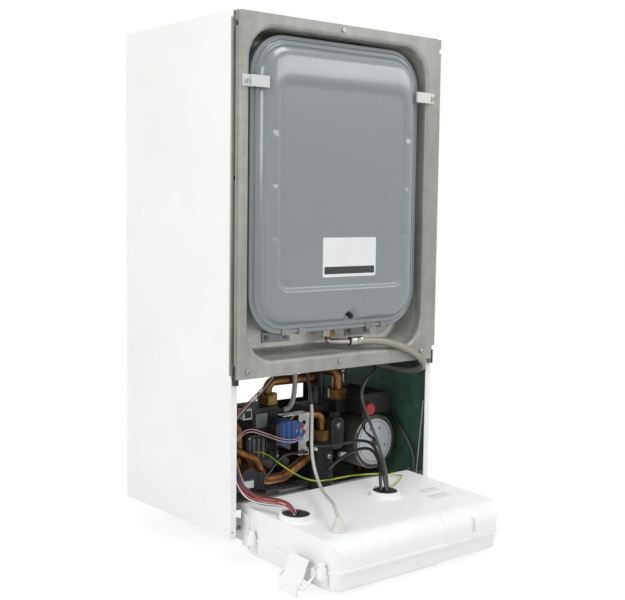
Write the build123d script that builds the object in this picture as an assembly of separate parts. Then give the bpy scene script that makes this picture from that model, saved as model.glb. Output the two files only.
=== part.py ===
"""Wall-hung combi boiler, shown in its service state.

The front case is off and the control box is folded down on its hinge. Millimetres.
X runs to the right as seen from the front, Y runs into the wall and Z up. The origin
lies on the wall plane, at the middle of the casing's bottom edge. Depths named d are
measured back from the front edges of the side panels.
"""
from build123d import *
import math
import os

os.makedirs("parts", exist_ok=True)

# Casing
casing_height = 745
casing_width = 400
body_depth = 294
panel_sheet = 1.2
panel_flange = 10
plug_height = 516
frame_sheet = 1.5
frame_flange = 24
window_bottom = 126
window_top = 233
window_post = 30
rail_depth = 11
hang_hole_radius = 5
hang_spacing = 240
hang_height = 705
tray_front = 117
tray_top = 12
tray_sheet = 1.5
gap = 0.3
run_clearance = 0.05

# Sealed chamber and its deep-drawn cover
cover_proud = 13
cover_sheet = 1.0
cover_bottom = 233
cover_left = -195.5
cover_right = 188
lip_back = 5
lip_reach = 200.5
lip_rise = 20
recess_width = 347
recess_height = 471
recess_x = -7.5
recess_z = 491.5
recess_corner = 48
recess_floor = 43
recess_draft = 6
mouth_radius = 6
seal_thickness = 2.5
chamber_sheet = 1.2
chamber_left = -187.5
chamber_right = 184
chamber_bottom = 237
chamber_top = 742
chamber_back = 281

# Expansion vessel
vessel_width = 329
vessel_height = 429
vessel_corner = 60
vessel_x = -7
vessel_z = 506
vessel_wall = 1.5
vessel_front = -17
vessel_back = 38
rim_front = -1
rim_back = 6
rim_width = 9
rubber = 1.2
panel_width = 250
panel_height = 302
panel_sink = 3
clip_thickness = 3.2
port_x = -5
port_d = 20

# Heat cell inside the chamber
cell_width = 230
cell_depth = 150
cell_d = 165
burner_z = 330
exchanger_z = 520
exchanger_height = 66
fan_x = -20
fan_z = 664
fan_radius = 46
flue_x = 60
flue_radius = 30
flue_wall = 1.0
flue_rise = 22

# Water and gas group
pipe_radius = 7.5
tail_drop = 22
tail_free_top = 8
tail_neck = 0.5
tail_depth = 190
tail_spacing = 65
pump_x = 137
pump_z = 88
pump_front = 62
pump_radius = 46
motor_length = 66
shaft_radius = 4
disc_radius = 39
filter_x = 51
filter_d = 100
filter_radius = 20
filter_top = 95
valve_left = -105
valve_right = -42
valve_front = 93
diverter_top = 79
valve_back = 150
return_nut_x = 97
return_nut_d = 114
actuator_x = -125
actuator_z = 61
actuator_front = 58
actuator_radius = 20

# Control box, drawn level and then tilted about its hinge
hinge_d = 15
hinge_z = 10
hinge_radius = 3
box_tilt = 2
box_half = 168.5
box_front = -192
box_rear = 24
box_rise = 44
box_drop = 23
box_wall = 2.2
box_corner = 25
nose_radius = 28
heel_radius = 7
band = 1.8
band_height = 4
collar_rise = 7
lid_left = 44
lid_rear = -125
grommets = ((-141, -75, 20), (43, -62, 19))
cone_x = -127
cone_d = -151
cone_height = 20
raised_right = 34
raise_depth = 3
arm_sheet = 3.5
knob_radius = 15
knob_height = 9
knob_stem = 3
knobs = {"control_knob_heating": (-35, -100), "control_knob_water": (8, -100)}
gauge_x = -138
gauge_d = -100
gauge_radius = 19
button_x = -88
button_d = -145
button_radius = 5
display_x = -88
display_d = -100
post_x = -174.5
latch_near = -158
latch_far = -113
latch_x = -173.5
latch_z = 0
latch_reach = 22
latch_fall = 17

front = -body_depth
half = casing_width / 2
inner = half - panel_sheet


def at(x, d, z):
    """A point given by its depth behind the front edges."""
    return (x, front + d, z)


def block(x0, x1, d0, d1, z0, z1):
    """A box between two corners."""
    size = Box(abs(x1 - x0), abs(d1 - d0), abs(z1 - z0))
    return Pos(*at((x0 + x1) / 2, (d0 + d1) / 2, (z0 + z1) / 2)) * size


def bar(a, b, radius):
    """A round bar from point a to point b."""
    start, end = Vector(*at(*a)), Vector(*at(*b))
    axis = Plane(origin=start, z_dir=end - start)
    along = (Align.CENTER, Align.CENTER, Align.MIN)
    return axis * Cylinder(radius, (end - start).length, align=along)


def hexagon(a, b, across):
    """A hexagonal prism from point a to point b, with its width across flats."""
    start, end = Vector(*at(*a)), Vector(*at(*b))
    face = Plane(origin=start, z_dir=end - start) * RegularPolygon(across / math.sqrt(3), 6)
    return extrude(face, (end - start).length)


def pan(x, z, width, height, corner, d0, d1, inset):
    """A rounded block that narrows by inset on each side between depths d0 and d1."""
    faces = []
    for d, cut in ((d0, 0), (d1, inset)):
        plane = Plane(origin=at(x, d, z), x_dir=(1, 0, 0), z_dir=(0, -1, 0))
        faces.append(plane * RectangleRounded(width - 2 * cut, height - 2 * cut, corner - cut))
    return loft(faces, ruled=True)


def edges_at(shape, d):
    """The edges that lie whole on one depth."""
    return shape.edges().filter_by_position(Axis.Y, front + d - 0.01, front + d + 0.01)


def folded(points, thickness):
    """The section of a sheet folded along points, thickened to the left of the line."""
    line = [Vector(x, y) for x, y in points]
    turns = [(b - a).normalized() for a, b in zip(line, line[1:])]
    other = []
    for i, point in enumerate(line):
        before, after = turns[max(i - 1, 0)], turns[min(i, len(turns) - 1)]
        normal = (Vector(-before.Y, before.X) + Vector(-after.Y, after.X)).normalized()
        reach = thickness / normal.dot(Vector(-after.Y, after.X))
        other.append(point + normal * reach)
    return make_face(Polyline(*line, *reversed(other), close=True))


def upright(points, thickness, z0, z1):
    """A folded sheet that stands along Z, with its section given as x and depth."""
    section = folded([(x, front + d) for x, d in points], thickness)
    return extrude(Pos(0, 0, z0) * section, z1 - z0)


def corner_radii(points, most=math.inf):
    """For each corner the radius that takes up the shorter run beside it, up to a limit."""
    knots = [Vector(*at(*p)) for p in points]
    legs = [b - a for a, b in zip(knots, knots[1:])]
    radii = []
    for first, second in zip(legs, legs[1:]):
        half_turn = math.radians(first.get_angle(second) / 2)
        radii.append(min(most, 0.45 * min(first.length, second.length) / math.tan(half_turn)))
    return radii


def pipe(points, radius, bend):
    """A rigid tube whose corners are arcs of one bending radius, or less in a short run."""
    path = FilletPolyline(*[at(*p) for p in points], radius=corner_radii(points, bend))
    return sweep(Plane(origin=path @ 0, z_dir=path % 0) * Circle(radius), path=path)


def cord(name, points, diameter):
    """A free cord: straight runs joined by arcs as large as the runs allow."""
    radii = corner_radii(points)
    path = FilletPolyline(*[at(*p) for p in points], radius=radii)
    tube = sweep(Plane(origin=path @ 0, z_dir=path % 0) * Circle(diameter / 2), path=path)
    ratio = tube.volume / (math.pi * diameter**2 / 4 * path.length)
    print(f"{name}: length {path.length:.0f} least radius {min(radii):.1f} volume ratio {ratio:.4f}")
    return tube


def shifted(points, dx, dd, dz):
    """The same route moved sideways."""
    return [(x + dx, d + dd, z + dz) for x, d, z in points]


def save(name, *shapes):
    """Write one node, with each of its solids kept apart."""
    solids = [solid for shape in shapes for solid in shape.solids()]
    shape = solids[0] if len(solids) == 1 else Compound(children=solids)
    export_step(shape, f"parts/{name}.step")


def tilted(shape):
    """A level piece of the control box, tilted about the hinge."""
    pivot = at(0, hinge_d, hinge_z)
    return Pos(*pivot) * Rot(box_tilt, 0, 0) * Pos(*[-c for c in pivot]) * shape


def level(name, *shapes):
    """Write one node of the control box."""
    save(name, *[tilted(solid) for shape in shapes for solid in shape.solids()])


# ---------------------------------------------------------------- casing
def side_panel(side):
    """A painted steel side panel with its front flange folded in."""
    points = [(side * (half - panel_flange), 0), (side * half, 0), (side * half, body_depth)]
    if side < 0:
        panel = upright(points[::-1], panel_sheet, 0, casing_height)
    else:
        panel = upright(points, panel_sheet, 0, casing_height)
    panel -= bar((side * (half - 5), -1, plug_height), (side * (half - 5), 3, plug_height), 2.5)
    panel -= bar((side * (half - 4), -1, 10), (side * (half - 4), 3, 10), 2)
    return panel


def rear_frame():
    """The galvanised back: a plate with side flanges, a window and two rails."""
    width = 2 * (inner - gap)
    plate = block(-width / 2, width / 2, body_depth - frame_sheet, body_depth, 0, casing_height - 1)
    opening = width / 2 - window_post
    plate -= block(-opening, opening, 280, 300, window_bottom, window_top)
    for side in (-1, 1):
        edge = side * width / 2
        plate += block(
            edge - side * frame_sheet, edge, body_depth - frame_flange, body_depth, 0, casing_height - 1
        )
        hole = side * hang_spacing / 2
        plate -= bar((hole, 280, hang_height), (hole, 300, hang_height), hang_hole_radius)
    face = body_depth - frame_sheet
    for z in (290, 640):
        rail = block(-180, 180, face - rail_depth, face, z, z + 30)
        rail -= block(-181, 181, face - rail_depth + frame_sheet, face, z + frame_sheet, z + 28.5)
        plate += rail
    return plate


def base_tray():
    """The bottom plate of the water compartment, ribbed and holed for the pipe tails."""
    reach = inner - gap - frame_sheet - gap
    rear = body_depth - frame_sheet - gap
    tray = block(-reach, reach, tray_front, rear, tray_top - tray_sheet, tray_top)
    tray += block(-reach, reach, tray_front, tray_front + tray_sheet, 0, tray_top)
    for side in (-1, 1):
        edge = side * reach
        tray += block(edge - side * tray_sheet, edge, tray_front, rear, 0, tray_top)
    for x, radius in tails():
        tray -= bar((x, tail_depth, 0), (x, tail_depth, 20), radius + gap)
    tray -= bar((relief_tail_x, relief_tail_d, 0), (relief_tail_x, relief_tail_d, 20), pipe_radius + gap)
    for x in (-20, 20):
        for d in (134, 148):
            tray += block(x - 16, x + 16, d, d + 9, tray_top, tray_top + 5)
    return tray


def tails():
    """The five pipe tails from left to right: place across and outer radius."""
    radii = (11, pipe_radius, 11, pipe_radius, 11)
    return [((i - 2) * tail_spacing, radius) for i, radius in enumerate(radii)]


relief_tail_x = 181
relief_tail_d = 150


def hinge_brackets():
    """Two plates on the side panels with the hinge pins, and the stay wire on the right."""
    pieces = []
    for side in (-1, 1):
        face = side * (inner - gap)
        plate = block(face - side * 1.5, face, 4, 44, 2, 40)
        pin_end = side * (box_half + 0.5)
        plate += bar((face - side, hinge_d, hinge_z), (pin_end, hinge_d, hinge_z), hinge_radius)
        plate += bar(
            (face - side * 1.5, hinge_d, hinge_z), (face - side * 12, hinge_d, hinge_z), hinge_radius + 3
        )
        pieces.append(plate)
    top = (inner - gap, 6, 160)
    foot = (inner - gap - 1.5 - gap, hinge_d, 26)
    wire = pipe([top, (192, 6, 160), (188, 14, 44), (188, hinge_d, 26), foot], 1.25, 3)
    return pieces + [wire]


# ---------------------------------------------------------------- chamber
def recess(grow):
    """The pressed pocket of the cover, grown by a wall."""
    solid = pan(
        recess_x, recess_z, recess_width + 2 * grow, recess_height + 2 * grow,
        recess_corner + grow, -cover_proud, recess_floor + grow, recess_draft,
    )
    return fillet(edges_at(solid, recess_floor + grow), 11 + grow)


def chamber_cover():
    """The galvanised cover, with its pocket for the vessel drawn from one sheet."""
    face, back = -cover_proud, -cover_proud + lip_back
    line = [
        (lip_reach, back), (cover_right + 1.5, back), (cover_right, face),
        (cover_left, face), (cover_left - 1.3, back), (-lip_reach, back),
    ]
    cover = upright(line[::-1], cover_sheet, cover_bottom, casing_height)
    low = cover_bottom + lip_rise
    for side, edge in ((1, cover_right), (-1, cover_left)):
        reach = side * (lip_reach + 5)
        cover -= block(edge + side * 3, reach, -20, 5, cover_bottom - 5, low)
        cover -= bar((side * lip_reach, -20, 727), (side * lip_reach, 5, 727), 4)
    for z in (cover_bottom, casing_height - cover_sheet):
        cover += block(cover_left, cover_right, face, back, z, z + cover_sheet)
    cover += recess(cover_sheet)
    rear_mouth = edges_at(cover, -cover_proud + cover_sheet).filter_by(
        lambda e: e.bounding_box().size.Y < 0.1
        and abs(e.center().X - recess_x) < recess_width / 2 + 4
        and abs(e.center().Z - recess_z) < recess_height / 2 + 4
    )
    cover = fillet(rear_mouth, mouth_radius - cover_sheet)
    cover -= recess(0)
    mouth = edges_at(cover, -cover_proud).filter_by(
        lambda e: abs(e.center().X - recess_x) < recess_width / 2 + 2
        and abs(e.center().Z - recess_z) < recess_height / 2 + 2
    )
    return fillet(mouth, mouth_radius)


def ring(x0, x1, z0, z1, inner_x0, inner_x1, inner_z0, inner_z1, d0, d1, corner):
    """A flat frame between two rectangles."""
    outer = block(x0, x1, d0, d1, z0, z1)
    width, height = inner_x1 - inner_x0, inner_z1 - inner_z0
    centre = ((inner_x0 + inner_x1) / 2, (inner_z0 + inner_z1) / 2)
    return outer - pan(*centre, width, height, corner, d0 - 1, d1 + 1, 0)


def chamber_box():
    """The galvanised combustion chamber, open at the front, with a flange for the seal."""
    flange_front = -cover_proud + cover_sheet + seal_thickness
    flange_back = flange_front + chamber_sheet
    wall = chamber_sheet
    box = block(chamber_left, chamber_right, flange_back, chamber_back, chamber_bottom, chamber_top)
    box -= block(
        chamber_left + wall, chamber_right - wall, -20, chamber_back - wall,
        chamber_bottom + wall, chamber_top - wall,
    )
    box += ring(
        -194.5, 187, 235, 743.5, chamber_left + wall, 174, 248, 735,
        flange_front, flange_back, 40,
    )
    for x, d, radius in floor_holes():
        box -= bar((x, d, chamber_bottom - 5), (x, d, chamber_bottom + 5), radius + gap)
    for (x, d, _), radius in glands():
        box -= bar((x, d, chamber_bottom - 5), (x, d, chamber_bottom + 5), radius - 2)
    box -= bar((flue_x, cell_d, chamber_top - 5), (flue_x, cell_d, chamber_top + 5), flue_radius + 1 + gap)
    return box


def floor_holes():
    """Pipes that pass the chamber floor: place across, depth and outer radius."""
    return [(gas_rise_x, gas_rise_d, pipe_radius), (return_rise_x, return_rise_d, 9), (flow_rise_x, flow_rise_d, 9)]


gas_rise_x, gas_rise_d = 48, 150
return_rise_x, return_rise_d = 80, 142
riser_right = 135
flow_rise_x, flow_rise_d = -150, 200


def chamber_seals():
    """The foam seal between cover and chamber, and the cable glands in the chamber's floor."""
    front_face = -cover_proud + cover_sheet
    pieces = [ring(
        -194, 186.5, 236, 743, -188.8, 174.5, 248.5, 734.5,
        front_face, front_face + seal_thickness, 40,
    )]
    for (x, d, _), radius in glands():
        gland = bar((x, d, gland_bottom), (x, d, chamber_bottom), radius)
        gland += bar((x, d, chamber_bottom), (x, d, chamber_bottom + chamber_sheet + 3), radius - 2)
        pieces.append(gland)
    return pieces


def glands():
    """Place and radius of each gland in the chamber's floor."""
    return [
        (harness_route[0], 7), (grey_cable_route[0], 6), (long_cable_route[0], 6),
        (grey_hose_route[-1], 7), (shifted(sensor_route[-1:], -2.2, 0, 0)[0], 6),
    ]


def screw(x, z, d):
    """A pan-head screw seen from the front, its head resting at depth d."""
    head = bar((x, d, z), (x, d - 2.6, z), 3.6)
    head = fillet(edges_at(head, d - 2.6), 1.2)
    cross = block(x - 2.2, x + 2.2, d - 4, d - 1.2, z - 0.5, z + 0.5)
    cross += block(x - 0.5, x + 0.5, d - 4, d - 1.2, z - 2.2, z + 2.2)
    return head - cross


def cover_fixings():
    """The cover's screws, the casing plugs and the two black edge clips."""
    face = -cover_proud
    spots = [(-11, 737), (-181, 242.5), (-8, 244), (165, 247)]
    pieces = [screw(x, z, face) for x, z in spots]
    for side in (-1, 1):
        x = side * (half - 5)
        plug = bar((x, 0, plug_height), (x, -1.5, plug_height), 4)
        plug += bar((x, 0, plug_height), (x, 1.2, plug_height), 2.4)
        pieces.append(plug)
        pieces.append(block(x - 3.5, x + 3.5, -7, 0, 224, 246))
    return pieces


# ---------------------------------------------------------------- vessel
def shell_body(d0, d1, cut, inset, corner, grow=0.0):
    """One half of the vessel as a solid, shrunk by grow."""
    solid = pan(
        vessel_x, vessel_z, vessel_width - 2 * cut - 2 * grow, vessel_height - 2 * cut - 2 * grow,
        vessel_corner - cut - grow, d0, d1, inset,
    )
    return fillet(edges_at(solid, d1), corner - grow)


def rim(d0, d1):
    """The flat rim of one half."""
    return pan(vessel_x, vessel_z, vessel_width, vessel_height, vessel_corner, d0, d1, 0)


def dent(grow):
    """The hollow round the air valve, low on the front shell."""
    return Pos(*at(valve_cap_x, vessel_front, valve_cap_z)) * Sphere(14 + grow)


valve_cap_x, valve_cap_z = 12, 309
cap_lean = math.radians(32)


def front_panel(sink, grow):
    """The sunk field of the front shell."""
    return pan(
        vessel_x - 1.5, vessel_z, panel_width - 2 * grow, panel_height - 2 * grow, 14 - grow,
        vessel_front - 1, vessel_front + sink, 3,
    )


def vessel_front_shell():
    """The pressed front half: stepped rim, crowned edge, sunk field and six dimples."""
    split = (rim_front + rim_back - rubber) / 2
    body = shell_body(rim_front, vessel_front, rim_width, 5, 13) + rim(rim_front, split)
    body -= front_panel(panel_sink, 0)
    hollow = shell_body(rim_front, vessel_front + vessel_wall, rim_width, 5, 13, vessel_wall)
    hollow -= front_panel(panel_sink + vessel_wall, -vessel_wall)
    for side in (-1, 1):
        for i in (-1, 0, 1):
            spot = at(vessel_x + side * 130, vessel_front - 4, vessel_z + 5 + i * 75)
            body -= Pos(*spot) * Sphere(8)
            hollow -= Pos(*spot) * Sphere(8 + vessel_wall)
    body -= dent(0)
    hollow -= dent(vessel_wall)
    body = fillet(edges_at(body, split).filter_by(lambda e: True), 0.8)
    opening = pan(
        vessel_x, vessel_z, vessel_width - 2 * rim_width - 2 * vessel_wall,
        vessel_height - 2 * rim_width - 2 * vessel_wall, vessel_corner - rim_width - vessel_wall,
        rim_front - 0.01, split + 1, 0,
    )
    return body - hollow - opening


def vessel_back_shell():
    """The rear half with its water port."""
    split = (rim_front + rim_back + rubber) / 2
    body = shell_body(rim_back, vessel_back, rim_width, 5, 13) + rim(split, rim_back)
    hollow = shell_body(rim_back, vessel_back - vessel_wall, rim_width, 5, 13, vessel_wall)
    opening = pan(
        vessel_x, vessel_z, vessel_width - 2 * rim_width - 2 * vessel_wall,
        vessel_height - 2 * rim_width - 2 * vessel_wall, vessel_corner - rim_width - vessel_wall,
        rim_back + 0.01, split - 1, 0,
    )
    body += bar((port_x, port_d, port_z), (port_x, port_d, port_z + 16), 8)
    body -= hollow
    body -= opening
    return body - bar((port_x, port_d, port_z - 1), (port_x, port_d, port_z + 20), 5)


port_z = 289.7


def vessel_diaphragm():
    """The rubber sheet clamped between the halves, bulged a little into the rear half."""
    split = (rim_front + rim_back - rubber) / 2
    sheet = rim(split, split + rubber)
    inset = rim_width + vessel_wall + 2
    outer = pan(
        vessel_x, vessel_z, vessel_width - 2 * inset, vessel_height - 2 * inset,
        vessel_corner - inset, split, split + 12, 9,
    )
    inner_side = pan(
        vessel_x, vessel_z, vessel_width - 2 * inset - 2.4, vessel_height - 2 * inset - 2.4,
        vessel_corner - inset - 1.2, split - 0.01, split + 12 - rubber, 9,
    )
    return sheet + outer - inner_side


def vessel_valve_cap():
    """The black cap of the air valve, pointing down out of its hollow."""
    points = []
    for reach in (12.9, 3.5, 1.5):
        rise, back = reach * math.sin(cap_lean), reach * math.cos(cap_lean)
        points.append((valve_cap_x, vessel_front + back, valve_cap_z + rise))
    return bar(points[0], points[1], 4) + bar(points[1], points[2], 2.6)


def vessel_clips():
    """Two nylon clips that hold the upper rim, each with its screw."""
    pieces = []
    z = 650
    for side, screw_x in ((-1, -189), (1, 174)):
        outer = screw_x + side * 5
        inner_end = vessel_x + side * 145
        pad = -cover_proud - clip_thickness
        knuckle = screw_x - side * 9
        strap = block(knuckle, outer, pad, -cover_proud, z - 8, z + 8)
        strap += block(knuckle - 2, knuckle + 2, vessel_front - gap - 3, -cover_proud, z - 8, z + 8)
        strap += block(inner_end, knuckle, vessel_front - gap - 3, vessel_front - gap, z - 8, z + 8)
        pieces.append(strap)
        pieces.append(screw(screw_x, z, pad))
    return pieces


def vessel_brackets():
    """Two steel brackets on the pocket's floor, each hooked under the rim with two tabs."""
    pieces = []
    under = vessel_z - vessel_height / 2 - gap
    for side in (-1, 1):
        x0, x1 = vessel_x + side * 56, vessel_x + side * 109
        plate = block(x0, x1, recess_floor - 1.5, recess_floor, 274, under)
        for centre in (67, 98):
            x = vessel_x + side * centre
            plate += block(x - 7, x + 7, rim_front - gap - 1.5, recess_floor, under - 1.5, under)
            plate += block(x - 7, x + 7, rim_front - gap - 1.5, rim_front - gap, under - 1.5, under + 9)
        for centre in (64, 100):
            x = vessel_x + side * centre
            pieces.append(screw(x, 281, recess_floor - 1.5))
        pieces.append(plate)
    return pieces


def vessel_elbow():
    """The nut, bent tube and ferrules at both ends of the braided hose."""
    nut = hexagon((port_x, port_d, port_z - 10), (port_x, port_d, port_z), 19)
    low = port_z - 10
    tube = pipe([(port_x, port_d, low), (port_x, port_d, 271), (22.6, 1.1, 271)], 4.5, 9)
    ferrule = bar((22.6, 1.1, 271), (33.9, -0.95, 271), 7)
    tail_x, tail_d, end = hose_route[-1]
    tail = bar((tail_x, tail_d, end - gap), (tail_x, tail_d, end - 10), 7)
    tail += hexagon((tail_x, tail_d, end - 9), (tail_x, tail_d, manifold_top + gap), 19)
    return [nut + tube + ferrule, tail]


manifold_top = 170
hose_diameter = 12
hose_route = [
    (34.2, -1, 271), (56, -5, 271), (79, -10, 269), (101, -15, 264), (122, -20, 256),
    (143, -23, 245), (162, -21, 232), (174, -9, 221), (179, 8, 213), (180, 28, 208.5),
    (179, 53, 208), (176, 82, 210), (170, 108, 212), (157, 130, 211), (143, 145, 206),
    (138, 150, 196), (138, 150, 186),
]


# ---------------------------------------------------------------- heat cell
def burner():
    """Burner tray with its bars and gas rail."""
    x0, x1 = -cell_width / 2, cell_width / 2
    d0, d1 = cell_d - cell_depth / 2, cell_d + cell_depth / 2
    rail = block(x0, x1, d0 + 10, d0 + 34, burner_z, burner_z + 24)
    for i in range(11):
        x = x0 + 15 + i * 20
        rail += block(x - 4, x + 4, d0 + 10, d1 - 4, burner_z + 24, burner_z + 60)
    rail += block(x0, x1, d1 - 10, d1 - 4, burner_z, burner_z + 60)
    for x in (x0, x1 - 3):
        rail += block(x, x + 3, d0 + 10, d1 - 4, burner_z, burner_z + 60)
    return rail


def combustion_case():
    """Steel case round the flame, from the burner to the exchanger, on four feet."""
    x0, x1 = -cell_width / 2, cell_width / 2
    d0, d1 = cell_d - cell_depth / 2, cell_d + cell_depth / 2
    low, high = burner_z + 60 + gap, exchanger_z - gap
    case = block(x0, x1, d0, d1, low, high)
    case -= block(x0 + 3, x1 - 3, d0 + 3, d1 - 3, low - 1, high + 1)
    for side in (-1, 1):
        wall_x = chamber_right - chamber_sheet - gap if side > 0 else chamber_left + chamber_sheet + gap
        case += block(side * cell_width / 2, wall_x, d0 + 20, d0 + 50, low, low + 3)
        case += block(wall_x - side * 3, wall_x, d0 + 20, d0 + 50, low, low + 30)
    return case


def heat_exchanger():
    """Finned water exchanger with its side headers."""
    x0, x1 = -cell_width / 2, cell_width / 2
    d0, d1 = cell_d - cell_depth / 2, cell_d + cell_depth / 2
    low, high = exchanger_z, exchanger_z + exchanger_height
    body = block(x0, x1, d0, d1, low, high)
    count = 17
    for i in range(count):
        x = x0 + 16 + i * (cell_width - 32) / (count - 1)
        body -= block(x - 3.5, x + 3.5, d0 + 6, d1 - 6, low - 1, low + 22)
    for x, edge, reach in ((flow_rise_x, x0, -12), (riser_right, x1, 12)):
        body += block(edge, x + reach, flow_rise_d - 11, flow_rise_d + 11, low + 20, low + 44)
    return body


def flue_hood():
    """Hood that gathers the gases above the exchanger and carries the fan."""
    low = exchanger_z + exchanger_height + gap
    base = Plane(origin=at(0, cell_d, low)) * Rectangle(cell_width, cell_depth)
    neck = Plane(origin=at(fan_x, cell_d, low + 26)) * Rectangle(90, 90)
    hood = loft([base, neck], ruled=True)
    inner_base = Plane(origin=at(0, cell_d, low - 0.01)) * Rectangle(cell_width - 4, cell_depth - 4)
    inner_neck = Plane(origin=at(fan_x, cell_d, low + 26.01)) * Rectangle(86, 86)
    return hood - loft([inner_base, inner_neck], ruled=True)


def fan_housing():
    """Scroll housing of the fan with its outlet to the flue."""
    d0, d1 = cell_d - 27, cell_d + 27
    bottom = exchanger_z + exchanger_height + 26 + 2 * gap
    drum = bar((fan_x, d0, fan_z), (fan_x, d1, fan_z), fan_radius + 5)
    drum += block(fan_x - 34, fan_x + 34, d0, d1, bottom, fan_z)
    drum += block(fan_x, flue_x + 32, d0, d1, fan_z, fan_z + fan_radius + 5)
    drum -= bar((fan_x, d0 + 3, fan_z), (fan_x, d1 - 3, fan_z), fan_radius + 2)
    drum -= block(fan_x, flue_x + 29, d0 + 3, d1 - 3, fan_z + 4, fan_z + fan_radius + 2)
    drum -= bar((flue_x, cell_d, fan_z + 30), (flue_x, cell_d, fan_z + 70), flue_radius - 5)
    drum -= bar((fan_x, cell_d, bottom - 5), (fan_x, cell_d, fan_z - 40), 22)
    hub = bar((fan_x, d1, fan_z), (fan_x, d1 + 34, fan_z), 30)
    drum += hub
    return drum - bar((fan_x, d1 - 5, fan_z), (fan_x, d1 + 26, fan_z), shaft_radius + run_clearance)


def fan_rotor():
    """Backplate, hub, shaft and blades of the fan wheel."""
    d0, d1 = cell_d - 27, cell_d + 27
    wheel = bar((fan_x, d1 - 9, fan_z), (fan_x, d1 - 7, fan_z), fan_radius)
    wheel += bar((fan_x, d1 - 22, fan_z), (fan_x, d1 - 9, fan_z), 9)
    wheel += bar((fan_x, d1 - 22, fan_z), (fan_x, d1 + 24, fan_z), shaft_radius)
    count = 16
    for i in range(count):
        blade = Pos(fan_radius - 8, 0, 0) * Rot(0, 0, 35) * Box(14, 1.4, 34)
        turn = Plane(origin=at(fan_x, d1 - 9 - 17, fan_z), z_dir=(0, 1, 0))
        wheel += turn * Rot(0, 0, 360 * i / count) * blade
    return wheel


def flue_spigot():
    """The flue outlet through the chamber's roof."""
    low = fan_z + fan_radius + 5 + gap
    top = casing_height + flue_rise
    outer = bar((flue_x, cell_d, low), (flue_x, cell_d, top), flue_radius + flue_wall)
    outer += bar((flue_x, cell_d, chamber_top + gap), (flue_x, cell_d, chamber_top + 2), flue_radius + 14)
    return outer - bar((flue_x, cell_d, low - 1), (flue_x, cell_d, top + 1), flue_radius)


# ---------------------------------------------------------------- gas and water
def gas_valve_body():
    """Cast gas valve in two blocks, with its outlet boss, test screws and hose barb."""
    low = block(valve_left, valve_right, valve_front, valve_back, 80, 122)
    low = fillet(low.edges().filter_by(Axis.Z), 4)
    high = block(valve_left + 14, valve_right + 2, valve_front + 2, valve_back, 126, 163)
    high = fillet(high.edges().filter_by(Axis.Z), 4)
    body = low + high + block(valve_left + 20, valve_right - 8, valve_front + 8, valve_back - 6, 121, 127)
    for i in range(4):
        x = valve_left + 8 + i * 9
        body += block(x, x + 3, valve_front - 3, valve_front, 86, 116)
    for x in (-61, -50):
        body += bar((x, valve_front + 1, 91), (x, valve_front - 5, 91), 4)
    body += bar((gas_nut_x, gas_nut_d, 162), (gas_nut_x, gas_nut_d, 165), 13)
    body += bar((valve_right, 104, barb_z), (barb_x, 104, barb_z), 3.2)
    body += bar((valve_right, 104, barb_z), (valve_right + 6, 104, barb_z), 5)
    return body


gas_nut_x, gas_nut_d = -50, 114
barb_x, barb_z = -26, 153


def gas_valve_coil():
    """The blue coil in front of the valve, with its plug."""
    coil = block(-66, -24, 69, valve_front - gap, 106, 142)
    coil = fillet(coil.edges().filter_by(Axis.Y), 6)
    coil += block(-24, -12, 70, 88, 112, 137)
    for z in (114, 122, 130):
        coil += block(-12, -8, 72, 84, z, z + 5)
    return coil


def coil_bracket():
    """The notched steel plate beside the coil, folded back at its top and foot."""
    plate = block(-7.5, 14, 86, 87.5, 80, 147.5)
    plate -= bar((14, 80, 96), (14, 95, 96), 6)
    plate -= bar((3, 80, 132), (3, 95, 132), 4)
    plate += block(valve_right + 2 + gap, 14, 86, 104, 146, 147.5)
    plate += block(1, 9, 80, 87, 81, 82.5) + block(1, 9, 80, 87, 87.5, 89)
    return plate + block(7.5, 9, 80, 87, 81, 89)


def brass_nuts():
    """Union nuts on the copper pipes, each bored for its pipe."""
    spots = (
        (gas_nut_x, gas_nut_d, 165, 181, 30, pipe_radius),
        (filter_x, filter_d, filter_top + 1, filter_top + 18, 30, pipe_radius),
        (return_nut_x, return_nut_d, 158, 174, 29, 9),
    )
    nuts = []
    for x, d, z0, z1, across, radius in spots:
        nut = hexagon((x, d, z0), (x, d, z1), across)
        nuts.append(nut - bar((x, d, z0 - 1), (x, d, z1 + 1), radius))
    return nuts


def gas_pipe():
    """Copper gas pipe from the valve up to the burner."""
    top = burner_z - gap
    route = [
        (gas_nut_x, gas_nut_d, 165), (gas_nut_x, gas_nut_d, 200), (gas_rise_x, gas_nut_d, 198),
        (gas_rise_x, gas_rise_d, 205), (gas_rise_x, gas_rise_d, top),
    ]
    return pipe(route, pipe_radius, 14)


def water_pipes():
    """Heating return, heating flow, bridge and hot water pipes."""
    rise_top = exchanger_z + 20 - gap
    back = pipe([
        (return_nut_x, return_nut_d, 158), (return_nut_x, return_nut_d, 204),
        (return_rise_x, return_rise_d, 207), (return_rise_x, return_rise_d, 290),
        (riser_right, flow_rise_d, 290), (riser_right, flow_rise_d, rise_top),
    ], 9, 13)
    flow = pipe([
        (-130, 172, 80 + gap), (-130, 172, 180), (flow_rise_x, flow_rise_d, 190),
        (flow_rise_x, flow_rise_d, rise_top),
    ], 9, 14)
    bridge = pipe([
        (filter_x, filter_d, filter_top + 1), (filter_x, filter_d, 139), (10, 108, 139),
        (10, 168, 80), (10, exchanger_front - gap, 80),
    ], pipe_radius, 14)
    hot = pipe([
        (-146, 104, diverter_top + gap), (-146, 104, 112), (-97, 80, 87), (-84, 75, 54),
        (-44, 78, 53), (filter_x - filter_radius - 3.3, 98, 74),
    ], pipe_radius, 13)
    feed = pipe([(-172, 124, 147), (-115, 102, 138), (-115, 102, diverter_top + gap)], pipe_radius, 12)
    return [back, flow, bridge, hot, feed]


exchanger_front = 212


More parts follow.
